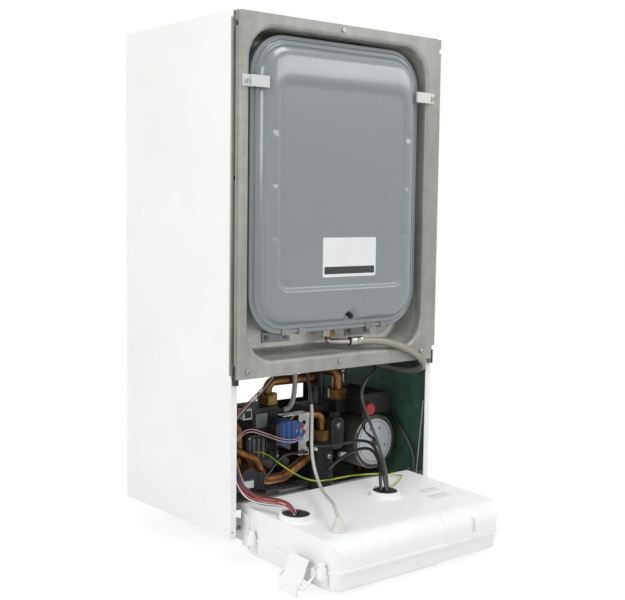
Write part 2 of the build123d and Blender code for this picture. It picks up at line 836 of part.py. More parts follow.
def plate_heat_exchanger():
    """Brazed plate exchanger with its stacked edges and two studs to the frame."""
    stack = block(-95, 95, exchanger_front, exchanger_front + 56, 28, 98)
    stack = fillet(stack.edges().filter_by(Axis.Y), 16)
    cutter = block(-120, 120, 0, 1.2, 0, 130) - fillet(
        block(-93.5, 93.5, -1, 3, 29.5, 96.5).edges().filter_by(Axis.Y), 14.5
    )
    for i in range(7):
        stack -= Pos(0, exchanger_front + 6 + i * 7, 0) * cutter
    for x in (-60, 60):
        rear = body_depth - frame_sheet - gap
        stack += bar((x, exchanger_front + 55, 63), (x, rear, 63), 5)
    return stack


def diverter_body():
    """Brass diverter valve with its arm back to the heating flow tail."""
    body = block(-156, -106, 92, 130, 50, diverter_top)
    body += bar((actuator_x, actuator_front + 22, actuator_z + 3), (actuator_x, 93, actuator_z + 3), 13)
    body += block(-145, -115, 129, tail_depth + 14, 50, 80)
    return body


def diverter_actuator():
    """Round black motor of the diverter valve, with its connector block."""
    rear = actuator_front + 22
    body = bar((actuator_x, actuator_front, actuator_z), (actuator_x, rear, actuator_z), actuator_radius)
    body = fillet(edges_at(body, actuator_front), 2)
    low, high = actuator_z - 15, actuator_z + 12
    return body + block(actuator_x + 15, actuator_x + 30, actuator_front + 2, rear - 12, low, high)


def pump_motor():
    """Pump motor can, hollow for its rotor."""
    rear = pump_front + motor_length
    can = bar((pump_x, pump_front, pump_z), (pump_x, rear, pump_z), pump_radius)
    can = fillet(edges_at(can, pump_front), 5)
    can -= bar((pump_x, pump_front - 1, pump_z), (pump_x, pump_front + 1.2, pump_z), disc_radius)
    can += bar((pump_x, pump_front + 2, pump_z), (pump_x, pump_front - 2, pump_z), 6)
    can -= bar((pump_x, pump_front + 12, pump_z), (pump_x, rear - 10, pump_z), 24)
    return can - bar((pump_x, pump_front + 8, pump_z), (pump_x, rear + 1, pump_z), shaft_radius + run_clearance)


def pump_rotor():
    """Pump shaft with its rotor drum and impeller."""
    rear = pump_front + motor_length
    shaft = bar((pump_x, pump_front + 8.5, pump_z), (pump_x, rear + 22, pump_z), shaft_radius)
    shaft += bar((pump_x, pump_front + 15, pump_z), (pump_x, rear - 13, pump_z), 21)
    wheel = bar((pump_x, rear + 8, pump_z), (pump_x, rear + 10, pump_z), 27)
    for i in range(6):
        vane = Pos(16, 0, 0) * Rot(0, 0, 40) * Box(20, 2, 9)
        turn = Plane(origin=at(pump_x, rear + 14, pump_z), z_dir=(0, 1, 0))
        wheel += turn * Rot(0, 0, 60 * i) * vane
    return shaft + wheel


def pump_volute():
    """Pump housing behind the motor, with its neck to the manifold and return elbow."""
    start = pump_front + motor_length + gap
    body = bar((pump_x, start, pump_z), (pump_x, start + 36, pump_z), pump_radius)
    body += bar((pump_x, start + 18, pump_z), (pump_x, start + 18, manifold_bottom), 14)
    body += bar((tail_spacing * 2, tail_depth, 60), (tail_spacing * 2, tail_depth, pump_z), 13)
    body += bar((tail_spacing * 2, tail_depth + 13, pump_z), (tail_spacing * 2, start + 30, pump_z), 13)
    body -= bar((pump_x, start + 5, pump_z), (pump_x, start + 26, pump_z), 30)
    return body - bar((pump_x, start - 1, pump_z), (pump_x, start + 6, pump_z), shaft_radius + run_clearance)


manifold_bottom = 136.3
knob_x, knob_z = 117, 146


def pump_manifold():
    """Black moulded water manifold with the filter housing and relief valve block."""
    body = block(104, 168, pump_front, 98, manifold_bottom, manifold_top)
    body = fillet(body.edges().filter_by(Axis.Y), 4)
    body += block(116, 167, 97, 160, manifold_bottom + 1, manifold_top)
    body += block(34, 88, 117, 159, 30, 150) + block(60, 118, 118, 158, manifold_bottom + 2, 150)
    body += block(83, 112, 100, 128, manifold_bottom + 1, 158)
    body += bar((filter_x, filter_d, tray_top + gap), (filter_x, filter_d, filter_top), filter_radius)
    body += bar((filter_x, filter_d, filter_top), (filter_x, filter_d, filter_top + 1), 13)
    body += block(filter_x - 13, filter_x + 13, filter_d, 122, 34, 90)
    body += bar((70, 86, 130), (70, 125, 130), 8)
    body += block(69, 81, 88.5, 92, 98, 141) + block(60, 81, 88.5, 92, 116, 141)
    body += bar((168, 100, 145), (176, 100, 145), 3.4)
    return body - bar((knob_x, pump_front - 1, knob_z), (knob_x, pump_front + 12, knob_z), 3 + run_clearance)


def relief_knob():
    """Red knob of the safety valve, with its grip ribs and stem."""
    face = pump_front - gap
    knob = bar((knob_x, face, knob_z), (knob_x, face - 10, knob_z), 9)
    for i in range(12):
        angle = math.radians(30 * i)
        x, z = knob_x + 9 * math.cos(angle), knob_z + 9 * math.sin(angle)
        knob += bar((x, face, z), (x, face - 9, z), 1.3)
    return knob + bar((knob_x, face, knob_z), (knob_x, face + 10, knob_z), 3)


def air_vent():
    """Automatic air vent on the manifold."""
    body = bar((64, 134, 150 + gap), (64, 134, 172), 10)
    body += bar((64, 134, 172), (64, 134, 178), 8)
    return body + bar((64, 134, 178), (64, 134, 181), 3)


def neck_ring(x, d, radius):
    """What is turned off a pipe tail between its free end and its nut, where it passes the tray."""
    low, high = (x, d, tail_free_top), (x, d, tray_top + gap)
    return bar(low, high, radius + 1) - bar(low, high, radius - tail_neck)


def pipe_tails():
    """The five pipe tails through the tray and the relief discharge tail."""
    pieces = []
    ends = (
        [(-130, tail_depth, 50 - gap)],
        [(-65, tail_depth, 50), (-65, exchanger_front - gap, 50)],
        [(0, tail_depth, 37), (-77, tail_depth, 37), (-77, 122, 37), (-77, 122, 80 - gap)],
        [(65, tail_depth, 50), (65, exchanger_front - gap, 50)],
        [(130, tail_depth, 60 - gap)],
    )
    for (x, radius), end in zip(tails(), ends):
        route = [(x, tail_depth, -tail_drop)] + end
        if len(route) == 2:
            tail = bar(route[0], route[1], radius)
        else:
            tail = pipe(route, min(radius, 9), 10)
            tail += bar((x, tail_depth, -tail_drop), (x, tail_depth, tray_top + 6), radius)
        tail += hexagon((x, tail_depth, tray_top + gap), (x, tail_depth, tray_top + 9), 2 * radius + 10)
        tail -= bar((x, tail_depth, -tail_drop - 1), (x, tail_depth, 4), radius - 1)
        pieces.append(tail - neck_ring(x, tail_depth, radius))
    x, d = relief_tail_x, relief_tail_d
    relief = bar((x, d, -tail_drop), (x, d, 33), pipe_radius)
    relief += bar((x, d, 24), (x, d - 11, 24), 3.4)
    relief += hexagon((x, d, tray_top + gap), (x, d, tray_top + 5), 22)
    relief -= bar((x, d, -tail_drop - 1), (x, d, 4), pipe_radius - 1)
    pieces.append(relief - neck_ring(x, d, pipe_radius))
    return pieces


gland_drop = 5
gland_bottom = chamber_bottom - gland_drop
plug_x = -190
grey_hose_route = [
    (barb_x, 104, barb_z), (-16, 104, 153), (-8, 104, 160), (-5, 103, 173), (-4, 101, 192),
    (-4, 101, gland_bottom - gap),
]
relief_hose_route = [
    (176.7, 100, 145), (185, 99, 144), (190, 88, 135), (189, 70, 122), (185, 52, 108),
    (185, 36, 92), (187, 24, 73), (184, 16, 53), (181, 20, 35), (181, 38, 24.5),
    (181, 64, 22), (181, 92, 22.5), (181, 118, 24), (181, relief_tail_d - 11, 24),
]


# ---------------------------------------------------------------- wires
harness_route = [
    (-178, 52, gland_bottom - gap), (-178, 50, 216), (-185, 34, 180), (-184, 22, 146), (-183, 13, 116),
    (-178, 8, 90), (-170, 2, 71), (-161, -14, 62), (-154, -34, 60), (-149, -54, 60),
    (-144.5, -69, 56), (-142, -75, 47),
]
wire_diameter = 2.2
grey_cable_route = [
    (-27, 42, gland_bottom - gap), (-27, 40.5, 212), (-27, 34, 190), (-29, 27, 167),
    (-34, 21, 140), (-40, 14, 113), (-46, 2, 88), (-54, -18, 71), (-68, -44, 64),
    (-85, -74, 64), (-102, -104, 67), (-116, -130, 69), (-125, -146, 64),
]
grey_diameter = 5
long_cable_route = [
    (116, 45, gland_bottom - 0.9), (114.5, 43, 221), (107, 34, 215.5), (93, 23, 213),
    (75, 14.5, 209), (60, 9, 199), (53, 5, 184), (52, 1, 172), (58, -4, 152), (62, -12, 132), (61, -25, 112),
    (57, -40, 91), (51, -54, 70), (45, -61, 50),
]
left_cable_route = [
    (24.3, 86, 91), (38, 79, 90), (54, 72, 91), (70, 60, 95), (82, 42, 101),
    (86, 20, 102), (80, 0, 97), (70, -20, 86), (59, -40, 71), (50, -55, 58), (47, -62, 47),
]
low_cable_route = [
    (50, 78.3, 52), (52, 68, 62), (58, 54, 74), (67, 38, 86), (76, 20, 93.5),
    (77, 3, 93), (72, -15, 86), (62, -34, 73), (50, -50, 60), (40, -61, 47),
]
black_diameter = 5
earth_route = [
    (-91, 92.4, 104), (-89, 80, 102), (-79, 66, 92), (-62, 54, 76), (-42, 44, 61),
    (-20, 36, 51), (2, 32, 48.5), (26, 29, 49.5), (52, 26, 50.5), (79, 20, 50),
    (101, 11, 49), (118, 0, 48), (131, -11, 46.5), (137, -17, 45.2),
]
earth_diameter = 2.4
actuator_route = [
    (7, 83.2, 85), (-10, 82, 85), (-26, 77, 88), (-43, 71, 89), (-59, 67, 86), (-73, 64, 78),
    (-83, 63, 67), (-93.9, 63, 61),
]
pink_route = [
    (plug_x, 66, 100), (-176, 65, 105), (-160, 63, 118), (-145, 62, 131), (-132, 62, 140),
    (-118, 63, 141), (-103, 64, 136), (-82, 64, 127), (-60, 63, 118), (-42, 62, 114),
    (-27, 62, 115), (-18, 69.3, 118),
]
pink_diameter = 1.6
sensor_route = [
    (plug_x, 70, 120), (-174, 70, 124), (-155, 71, 140), (-135, 73, 156), (-115, 78, 170),
    (-95, 84, 180), (-75, 91, 189), (-57, 96, 199), (-45, 97, 213), (-42, 97, gland_bottom - gap),
]


def harness_wires():
    """Five wires of the loom that runs into the left grommet."""
    wires = []
    for i in range(5):
        angle = math.radians(72 * i + 20)
        side, rise = 2.6 * math.cos(angle), 2.6 * math.sin(angle)
        route = shifted(harness_route, side, rise * 0.6, rise)
        route[0] = (route[0][0], route[0][1], harness_route[0][2])
        wires.append(cord(f"harness wire {i}", route, wire_diameter))
    return wires


def loom_wires():
    """The coil's wires, the sensor wires and the actuator's cable."""
    wires = [cord("actuator cable", actuator_route, 4)]
    wires.append(cord("coil wire", pink_route, pink_diameter))
    low = shifted(pink_route, 0, 0, -4)
    wires.append(cord("coil wire", low, pink_diameter))
    for i in range(3):
        route = shifted(sensor_route, -2.2 * i, 0, 2.2 * i)
        route[0] = (sensor_route[0][0], route[0][1], route[0][2])
        route[-1] = (route[-1][0], route[-1][1], sensor_route[-1][2])
        wires.append(cord(f"sensor wire {i}", route, 2))
    wires.append(block(-inner + gap, plug_x - gap, 60, 76, 90, 130))
    return wires


# ---------------------------------------------------------------- control box
def box_body(grow, low, high):
    """The control box's rear moulding as a solid: rounded plan and long rounded nose."""
    x = box_half + grow
    f, r = box_front - grow, box_rear + grow
    plan = Plane(origin=at(0, (f + r) / 2, low)) * Rectangle(2 * x, r - f)
    corners = plan.vertices().sort_by(Axis.Y)
    plan = fillet(corners[:2], box_corner + grow)
    plan = fillet(plan.vertices().sort_by(Axis.Y)[-2:], 8 + grow)
    block_body = extrude(plan, high - low)
    nose, heel = nose_radius + grow, heel_radius + grow
    side = Plane(origin=at(-x - 1, 0, 0), x_dir=(0, 1, 0), z_dir=(1, 0, 0))
    outline = side * make_face(
        Polyline((f, low), (r, low), (r, high), (f, high), close=True)
    )
    corners = outline.vertices().sort_by(Axis.Z)[-2:].sort_by(Axis.Y)
    outline = fillet(corners[0], nose)
    corners = outline.vertices().sort_by(Axis.Z)[-2:].sort_by(Axis.Y)
    outline = fillet(corners[1], heel)
    return block_body & extrude(outline, 2 * x + 2)


def box_shell():
    """The rear moulding: hollow, with cable collars, a sunk field and the rim band."""
    outer = box_body(0, 0, box_rise)
    ribbon = box_body(band, 0, box_rise + 40) & block(-200, 200, -230, 60, 0, band_height)
    ribbon -= block(-200, 200, -8, 60, -1, band_height + 1)
    outer += ribbon
    field = pan_flat(-105, 66, -50, box_rear + 5, box_rise - 1.2, box_rise + 5, 15)
    outer -= field
    for x, d, radius in grommets:
        outer += bar((x, d, box_rise - 4), (x, d, box_rise + collar_rise), radius + 4)
    outer -= box_body(-box_wall, -1, box_rise - box_wall)
    for x, d, radius in grommets:
        outer -= bar((x, d, box_rise - 10), (x, d, box_rise + collar_rise + 1), radius + gap)
    pad = block(95, 111, box_front + 1, box_front + 12, 7, 36) & box_body(-1, 0, box_rise)
    return outer + pad


def pan_flat(x0, x1, d0, d1, z0, z1, corner):
    """A level rounded block."""
    plan = Plane(origin=at((x0 + x1) / 2, (d0 + d1) / 2, z0))
    return extrude(plan * RectangleRounded(x1 - x0, d1 - d0, corner), z1 - z0)


def lid_region(play):
    """The corner of the box that the terminal cover takes up."""
    return block(lid_left + play, 200, -230, lid_rear - play, band_height + play, 80)


def terminal_cover():
    """The screwed cover over the terminals, with its finger slot."""
    lid = box_shell() & lid_region(gap)
    slot = Plane(origin=at(103, box_front - 2, 21), x_dir=(0, 0, 1), z_dir=(0, 1, 0))
    return lid - extrude(slot * SlotOverall(24, 9), 7)


def box_fascia():
    """The front moulding with controls, hinge arms, screw posts and latch ears."""
    plan_top = (2 * box_half, 10 - box_front)
    centre = (10 + box_front) / 2
    outer = fascia_body(0, -gap, -box_drop)
    outer += fascia_body(2.5, -box_drop, -box_drop - raise_depth) & block(
        -180, raised_right, -230, 60, -box_drop - 10, -box_drop + 1
    )
    hollow = fascia_body(box_wall, 1, -box_drop + 2.5)
    body = outer - hollow
    for side in (-1, 1):
        x0, x1 = side * (box_half + gap), side * (box_half + gap + arm_sheet)
        arm = block(x0, x1, -6, 26, -8, 22)
        arm += block(side * (box_half - 3), x1, -6, 9, -14, -gap)
        arm = arm + block(x0, x1, -6, 10, 20, 34)
        arm -= bar((side * 160, hinge_d, hinge_z), (side * 180, hinge_d, hinge_z), hinge_radius + run_clearance)
        body += arm
    for d in (-18, -174):
        post = bar((post_x, d, -5), (post_x, d, 9), 6.5)
        post += bar((post_x, d, 9), (post_x, d, 15), 4.8)
        post += block(post_x, -box_half + 1, d - 5, d + 5, -5, -gap)
        wedge = Plane(origin=at(post_x, d - 4, 0), x_dir=(1, 0, 0), z_dir=(0, 1, 0))
        post += extrude(wedge * make_face(Polyline((8, 4), (-5, 4), (8, 19), close=True)), 8)
        body += post - block(-box_half - band - gap, 0, d - 10, d + 10, -gap, 20)
    for d in (latch_near, latch_far):
        ear = block(-166, latch_x - 4, d - 3, d + 3, -7, 4)
        body += ear - block(-box_half - band - gap, 0, d - 5, d + 5, -gap, 5)
    body -= bar((latch_x, latch_near - 4, latch_z - 2), (latch_x, latch_far + 4, latch_z - 2), 1.5 + run_clearance)
    low = -box_drop - raise_depth - 1
    for x, d in knobs.values():
        body -= bar((x, d, low), (x, d, -10), knob_stem + run_clearance)
    body -= bar((button_x, button_d, low), (button_x, button_d, -10), button_radius + gap)
    body -= bar((gauge_x, gauge_d, low), (gauge_x, gauge_d, -10), gauge_radius + gap)
    body -= block(display_x - 25, display_x + 25, display_d - 14, display_d + 14, low, -10)
    for x in (-150, 150):
        for d in (-160, -25):
            body += bar((x, d, -box_drop + 1), (x, d, board_low - gap), 4)
    return body


board_low = -8


def fascia_body(cut, z0, z1):
    """The front moulding as a solid between two heights, tapering downwards."""
    faces = []
    for z in (z0, z1):
        lean = cut + 3 * max(-z, 0) / box_drop
        f, r = box_front + lean, 10 - lean
        plan = Plane(origin=at(0, (f + r) / 2, z)) * Rectangle(2 * (box_half - lean), r - f)
        plan = fillet(plan.vertices().sort_by(Axis.Y)[:2], box_corner - lean)
        plan = fillet(plan.vertices().sort_by(Axis.Y)[-2:], 8 - lean / 2)
        faces.append(plan)
    return loft(faces, ruled=True)


def cable_entries():
    """The two rubber grommets, holed for their cables, and the cone of the grey cable."""
    pieces = []
    top = box_rise + collar_rise
    routes = (
        [(harness_route, 6.6)],
        [(r, black_diameter / 2 + gap) for r in (long_cable_route, left_cable_route, low_cable_route)],
    )
    for (x, d, radius), cables in zip(grommets, routes):
        plug = tilted(bar((x, d, box_rise - 4), (x, d, top - 1.5), radius))
        for route, hole in cables:
            end, before = Vector(*route[-1]), Vector(*route[-2])
            deep = end + (end - before).normalized() * 4
            plug -= bar(tuple(deep), tuple(before), hole)
        pieces.append(plug)
    base = Plane(origin=at(cone_x, cone_d, box_rise + gap)) * Circle(11.5)
    tip = Plane(origin=at(cone_x, cone_d, box_rise + cone_height)) * Circle(3.8)
    pieces.append(tilted(loft([base, tip], ruled=True)))
    return pieces


def latch_bail():
    """The U-shaped bail of the side latch."""
    z = latch_z - 2
    out = latch_x - latch_reach
    low = z - latch_fall
    pin = bar((latch_x, latch_near - 3.4, z), (latch_x, latch_far + 3.4, z), 1.5)
    bail = pin
    for d in (latch_near - 5, latch_far + 5):
        bail += bar((latch_x, d, z), (out, d, low), 2)
        bail += bar((latch_x, d - 1.8, z), (latch_x, d + 1.8, z), 3)
    bail += bar((out, latch_near - 6.5, low), (out, latch_far + 6.5, low), 2)
    return bail


def latch_lever():
    """The finger plate of the latch, carried on the bail's cross bar."""
    out, low = latch_x - latch_reach, latch_z - 2 - latch_fall
    width = (latch_far - latch_near) - 6
    middle = (latch_far + latch_near) / 2
    plane = Plane(origin=at(out, middle - width / 2, low), x_dir=(1, 0, 0), z_dir=(0, 1, 0))
    section = plane * folded([(15, -34), (5, -6), (-3, 4), (-3, 14)], 2)
    plate = extrude(section, width)
    plate += bar((out, middle - width / 2, low), (out, middle + width / 2, low), 4.5)
    return plate - bar((out, latch_near - 10, low), (out, latch_far + 10, low), 2 + run_clearance)


def circuit_board():
    """Circuit board with its transformer, relays, terminals and plugs."""
    board = block(-156, 156, -168, -16, board_low, board_low + 1.6)
    top = board_low + 1.6
    pieces = [board]
    pieces.append(block(-60, -14, -150, -112, top, top + 32))
    for i in range(4):
        pieces.append(block(0 + i * 22, 16 + i * 22, -140, -112, top, top + 15))
    pieces.append(block(62, 148, -164, -146, top, top + 14))
    for i in range(5):
        pieces.append(block(-110 + i * 34, -84 + i * 34, -34, -24, top, top + 11))
    pieces.append(bar((-78, -130, top), (-78, -130, top + 26), 9))
    return pieces


def control_knob(x, d):
    """A ribbed control knob with a pointer ridge and its stem."""
    face = -box_drop - raise_depth
    knob = bar((x, d, face - gap), (x, d, face - knob_height), knob_radius)
    knob = chamfer(knob.edges().filter_by(GeomType.CIRCLE).sort_by(Axis.Z)[0], 1.5)
    for i in range(18):
        angle = math.radians(20 * i)
        px, pd = x + knob_radius * math.cos(angle), d + knob_radius * math.sin(angle)
        knob -= bar((px, pd, face), (px, pd, face - knob_height - 1), 0.9)
    knob += block(x - 1.2, x + 1.2, d + 2, d + knob_radius - 3, face - knob_height - 0.8, face - knob_height + 1)
    return knob + bar((x, d, face - gap - 1), (x, d, -11), knob_stem)


def reset_button():
    """Reset button, standing one millimetre proud."""
    face = -box_drop - raise_depth
    button = bar((button_x, button_d, face - 1), (button_x, button_d, -14), button_radius)
    return button + bar((button_x, button_d, -16), (button_x, button_d, -14), button_radius + 2)


def pressure_gauge():
    """Round pressure gauge, its face sunk in its case."""
    face = -box_drop - raise_depth
    case = bar((gauge_x, gauge_d, face - 1), (gauge_x, gauge_d, -12), gauge_radius)
    case -= bar((gauge_x, gauge_d, face - 2), (gauge_x, gauge_d, face + 3), gauge_radius - 2)
    return case - bar((gauge_x, gauge_d, face - 2), (gauge_x, gauge_d, face + 7), 1 + run_clearance)


def gauge_needle():
    """Needle of the pressure gauge."""
    face = -box_drop - raise_depth
    needle = block(gauge_x - 0.7, gauge_x + 0.7, gauge_d - 4, gauge_d + 13, face + 1.6, face + 2.3)
    needle += bar((gauge_x, gauge_d, face + 1.2), (gauge_x, gauge_d, face + 2.5), 2.6)
    return needle + bar((gauge_x, gauge_d, face + 2), (gauge_x, gauge_d, face + 6.5), 1)


def display_window():
    """The clear window of the display."""
    face = -box_drop - raise_depth
    x0, x1 = display_x - 25 + gap, display_x + 25 - gap
    return block(x0, x1, display_d - 14 + gap, display_d + 14 - gap, face, face + 3)


save("side_panel_left", side_panel(-1))
save("side_panel_right", side_panel(1))
save("rear_frame", rear_frame())
save("base_tray", base_tray())
save("hinge_brackets", *hinge_brackets())
save("chamber_cover", chamber_cover())
save("chamber_box", chamber_box())
save("chamber_seals", *chamber_seals())
save("cover_fixings", *cover_fixings())
save("vessel_front_shell", vessel_front_shell())
save("vessel_back_shell", vessel_back_shell())
save("vessel_diaphragm", vessel_diaphragm())
save("vessel_valve_cap", vessel_valve_cap())
save("vessel_clips", *vessel_clips())
save("vessel_brackets", *vessel_brackets())
save("vessel_elbow", *vessel_elbow())
save("burner", burner())
save("combustion_case", combustion_case())
save("heat_exchanger", heat_exchanger())
save("flue_hood", flue_hood())
save("fan_housing", fan_housing())
save("fan_rotor", fan_rotor())
save("flue_spigot", flue_spigot())
save("gas_valve_body", gas_valve_body())
save("gas_valve_coil", gas_valve_coil())
save("coil_bracket", coil_bracket())
save("brass_nuts", *brass_nuts())
save("gas_pipe", gas_pipe())
save("water_pipes", *water_pipes())
save("plate_heat_exchanger", plate_heat_exchanger())
save("diverter_body", diverter_body())
save("diverter_actuator", diverter_actuator())
save("pump_motor", pump_motor())
save("pump_rotor", pump_rotor())
save("pump_volute", pump_volute())
save("pump_manifold", pump_manifold())
save("relief_knob", relief_knob())
save("air_vent", air_vent())
save("pipe_tails", *pipe_tails())
save("braided_hose", cord("braided hose", hose_route, hose_diameter))
save("grey_hose", cord("grey hose", grey_hose_route, 8))
save("relief_hose", cord("relief hose", relief_hose_route, 6.8))
save("harness_wires", *harness_wires())
save("grey_cable", cord("grey cable", grey_cable_route, grey_diameter))
save(
    "black_cables",
    cord("long black cable", long_cable_route, black_diameter),
    cord("left black cable", left_cable_route, black_diameter),
    cord("low black cable", low_cable_route, black_diameter),
    block(14 + gap, 24, 82, 90, 87, 95),
)
save("earth_wire", cord("earth wire", earth_route, earth_diameter))
save("loom_wires", *loom_wires())

level("box_rear_shell", box_shell() - lid_region(0))
level("terminal_cover", terminal_cover())
level("box_fascia", box_fascia())
save("cable_entries", *cable_entries())
level("latch_bail", latch_bail())
level("latch_lever", latch_lever())
level("circuit_board", *circuit_board())
for knob_name, (knob_across, knob_depth) in knobs.items():
    level(knob_name, control_knob(knob_across, knob_depth))
level("reset_button", reset_button())
level("pressure_gauge", pressure_gauge())
level("gauge_needle", gauge_needle())
level("display_window", display_window())
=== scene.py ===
import logging
import math
from dataclasses import dataclass, replace
from enum import Enum
from typing import ClassVar, Iterable, Optional

import bmesh
import bpy
from mathutils import Matrix, Vector


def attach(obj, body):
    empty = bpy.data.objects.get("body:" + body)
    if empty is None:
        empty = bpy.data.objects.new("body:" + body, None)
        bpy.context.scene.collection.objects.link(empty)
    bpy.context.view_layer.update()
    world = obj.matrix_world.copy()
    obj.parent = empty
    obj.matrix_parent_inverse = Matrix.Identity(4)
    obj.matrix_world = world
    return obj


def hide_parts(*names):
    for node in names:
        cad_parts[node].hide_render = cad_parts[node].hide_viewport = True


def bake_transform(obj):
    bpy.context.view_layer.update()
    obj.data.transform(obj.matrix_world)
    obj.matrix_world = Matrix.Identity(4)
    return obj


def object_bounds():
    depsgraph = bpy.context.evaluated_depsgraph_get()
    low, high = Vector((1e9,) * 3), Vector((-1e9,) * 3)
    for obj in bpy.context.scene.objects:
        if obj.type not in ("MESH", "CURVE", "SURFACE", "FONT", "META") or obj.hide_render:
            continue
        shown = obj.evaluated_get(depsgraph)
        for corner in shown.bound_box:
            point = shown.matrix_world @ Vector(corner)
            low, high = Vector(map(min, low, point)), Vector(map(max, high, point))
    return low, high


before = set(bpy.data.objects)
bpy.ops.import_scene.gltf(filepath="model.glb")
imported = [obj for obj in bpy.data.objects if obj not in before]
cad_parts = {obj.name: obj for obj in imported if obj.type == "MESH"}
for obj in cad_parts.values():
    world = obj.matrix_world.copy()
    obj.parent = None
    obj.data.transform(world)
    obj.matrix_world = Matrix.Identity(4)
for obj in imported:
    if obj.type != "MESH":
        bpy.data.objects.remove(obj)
cad_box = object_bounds()

logging.basicConfig(level=logging.INFO, format="%(name)s: %(message)s")
log = logging.getLogger("combi_boiler")

MM = 0.001
BODY_DEPTH = 294.0
BOX_HINGE = (-279.0, 10.0)
BOX_TILT = math.radians(2.0)
TILTED = Matrix.Rotation(BOX_TILT, 4, "X")
COAT_ROUGHNESS = 0.12
BUMP_DEPTH = 0.5 * MM
MERGE = 1e-6
SOFT_STEPS, CORNER_STEPS, SCREW_STEPS = 2, 5, 20
SCREW_HEAD = ((0, 0.62), (0.55, 0.58), (0.85, 0.42), (1.0, 0.2), (1.0, 0.0), (0, 0.0))
SCREW_SLOT = (1.05, 0.22, 0.24)
SLOT_LIFT = 0.53
CORD_ORDER, CORD_STEPS, CORD_SIDES = 3, 10, 4

Pair = tuple[float, float]
Point = tuple[float, float, float]
Span = tuple[Point, Point]
Route = tuple[Point, ...]
Socket = bpy.types.NodeSocket
Sockets = bpy.types.bpy_prop_collection


class Body(Enum):
    """The moving bodies of the boiler that new pieces ride on."""

    CASING = "casing"
    BOX = "control_box"


class Axis(Enum):
    """The axis that a turned piece is built along."""

    X = (1.0, 0.0, 0.0)
    Y = (0.0, 1.0, 0.0)
    Z = (0.0, 0.0, 1.0)


class Lay(Enum):
    """How a cord lies."""

    LOOSE = "loose"
    HANGING = "hanging"


class Stiffness(Enum):
    """How far a cord can be bent by hand."""

    LIMP = "limp"
    MEDIUM = "medium"
    STIFF = "stiff"


def at(x: float, d: float, z: float) -> Vector:
    """A point in metres, from millimetres across, behind the side panels' front edges and above their feet."""
    return Vector((x, d - BODY_DEPTH, z)) * MM


def on_box(x: float, d: float, z: float) -> Vector:
    """A point on the control box, which hangs open past level: given as if the box lay level."""
    hinge = Vector((0, *BOX_HINGE)) * MM
    return hinge + TILTED @ (at(x, d, z) - hinge)


def shade(code: str) -> tuple[float, float, float, float]:
    """The linear colour, with full alpha, that looks like RRGGBB."""
    parts = [int(code[i : i + 2], 16) / 255 for i in (0, 2, 4)]
    return (*(p / 12.92 if p <= 0.04045 else ((p + 0.055) / 1.055) ** 2.4 for p in parts), 1.0)


# ---------------------------------------------------------------- shading


class Graph:
    """The nodes of one material, world or shader group, added and wired by short calls."""

    def __init__(self, tree: bpy.types.NodeTree) -> None:
        """Start on a node tree, emptied first."""
        self.tree = tree
        tree.nodes.clear()

    @classmethod
    def of(cls, owner: bpy.types.ID) -> "Graph":
        """Start on a material's or a world's nodes."""
        owner.use_nodes = True
        return cls(owner.node_tree)

    def feed(self, socket: Socket, value: object) -> None:
        """Wire or set an input.

        Args:
            socket: The input.
            value: A socket to link, or a plain value.
        """
        if isinstance(value, Socket):
            self.tree.links.new(value, socket)
        else:
            socket.default_value = value

    def add(self, kind: str, ins: Optional[dict] = None, **settings: object) -> bpy.types.Node:
        """Add a node.

        Args:
            kind: The node's type name after "ShaderNode".
            ins: Its inputs by name or number, each a socket or a plain value.
            **settings: Properties set on the node.

        Returns:
            The new node.
        """
        node = self.tree.nodes.new("ShaderNode" + kind)
        for name, value in settings.items():
            setattr(node, name, value)
        for name, value in (ins or {}).items():
            self.feed(node.inputs[name], value)
        return node

    def math(self, operation: str, *values: object, clamp: bool = False) -> Socket:
        """Arithmetic on one or two numbers; clamp holds the result between 0 and 1."""
        return self.add("Math", dict(enumerate(values)), operation=operation, use_clamp=clamp).outputs[0]

    def mix(self, share: object, a: object, b: object, blend: str = "MIX") -> Socket:
        """Two colours, mixed by the share of the second."""
        return self.add("Mix", {0: share, 6: a, 7: b}, data_type="RGBA", blend_type=blend).outputs[2]

    def blend(self, share: object, a: object, b: object) -> Socket:
        """Two numbers, mixed by the share of the second."""
        return self.add("Mix", {0: share, 2: a, 3: b}, data_type="FLOAT").outputs[0]

    def spread(self, value: object, low: float, high: float, to_low: float = 0.0, to_high: float = 1.0) -> Socket:
        """A number with its range mapped to another and clamped."""
        ends = {"From Min": low, "From Max": high, "To Min": to_low, "To Max": to_high}
        return self.add("MapRange", {"Value": value, **ends}).outputs[0]

    def noise(self, place: Socket, scale: object, detail: float = 3.0, rough: float = 0.5) -> Socket:
        """A noise about 0.5, with its scale per metre, its octaves and how strong the finer ones are."""
        ins = {"Vector": place, "Scale": scale, "Detail": detail, "Roughness": rough}
        return self.add("TexNoise", ins).outputs[0]

    def stretch(self, place: Socket, scale: Point) -> Socket:
        """The place that a pattern is read at, scaled along each axis."""
        return self.add("Mapping", {"Vector": place, "Scale": scale}).outputs[0]

    def split(self, place: Socket) -> Sockets:
        """A place's three numbers."""
        return self.add("SeparateXYZ", {0: place}).outputs

    def seen(self) -> Socket:
        """1 for the camera's rays and for mirrored and refracted ones, 0 for the rest."""
        rays = self.add("LightPath").outputs
        either = self.math("MAXIMUM", rays["Is Camera Ray"], rays["Is Glossy Ray"])
        return self.math("MAXIMUM", either, rays["Is Transmission Ray"])


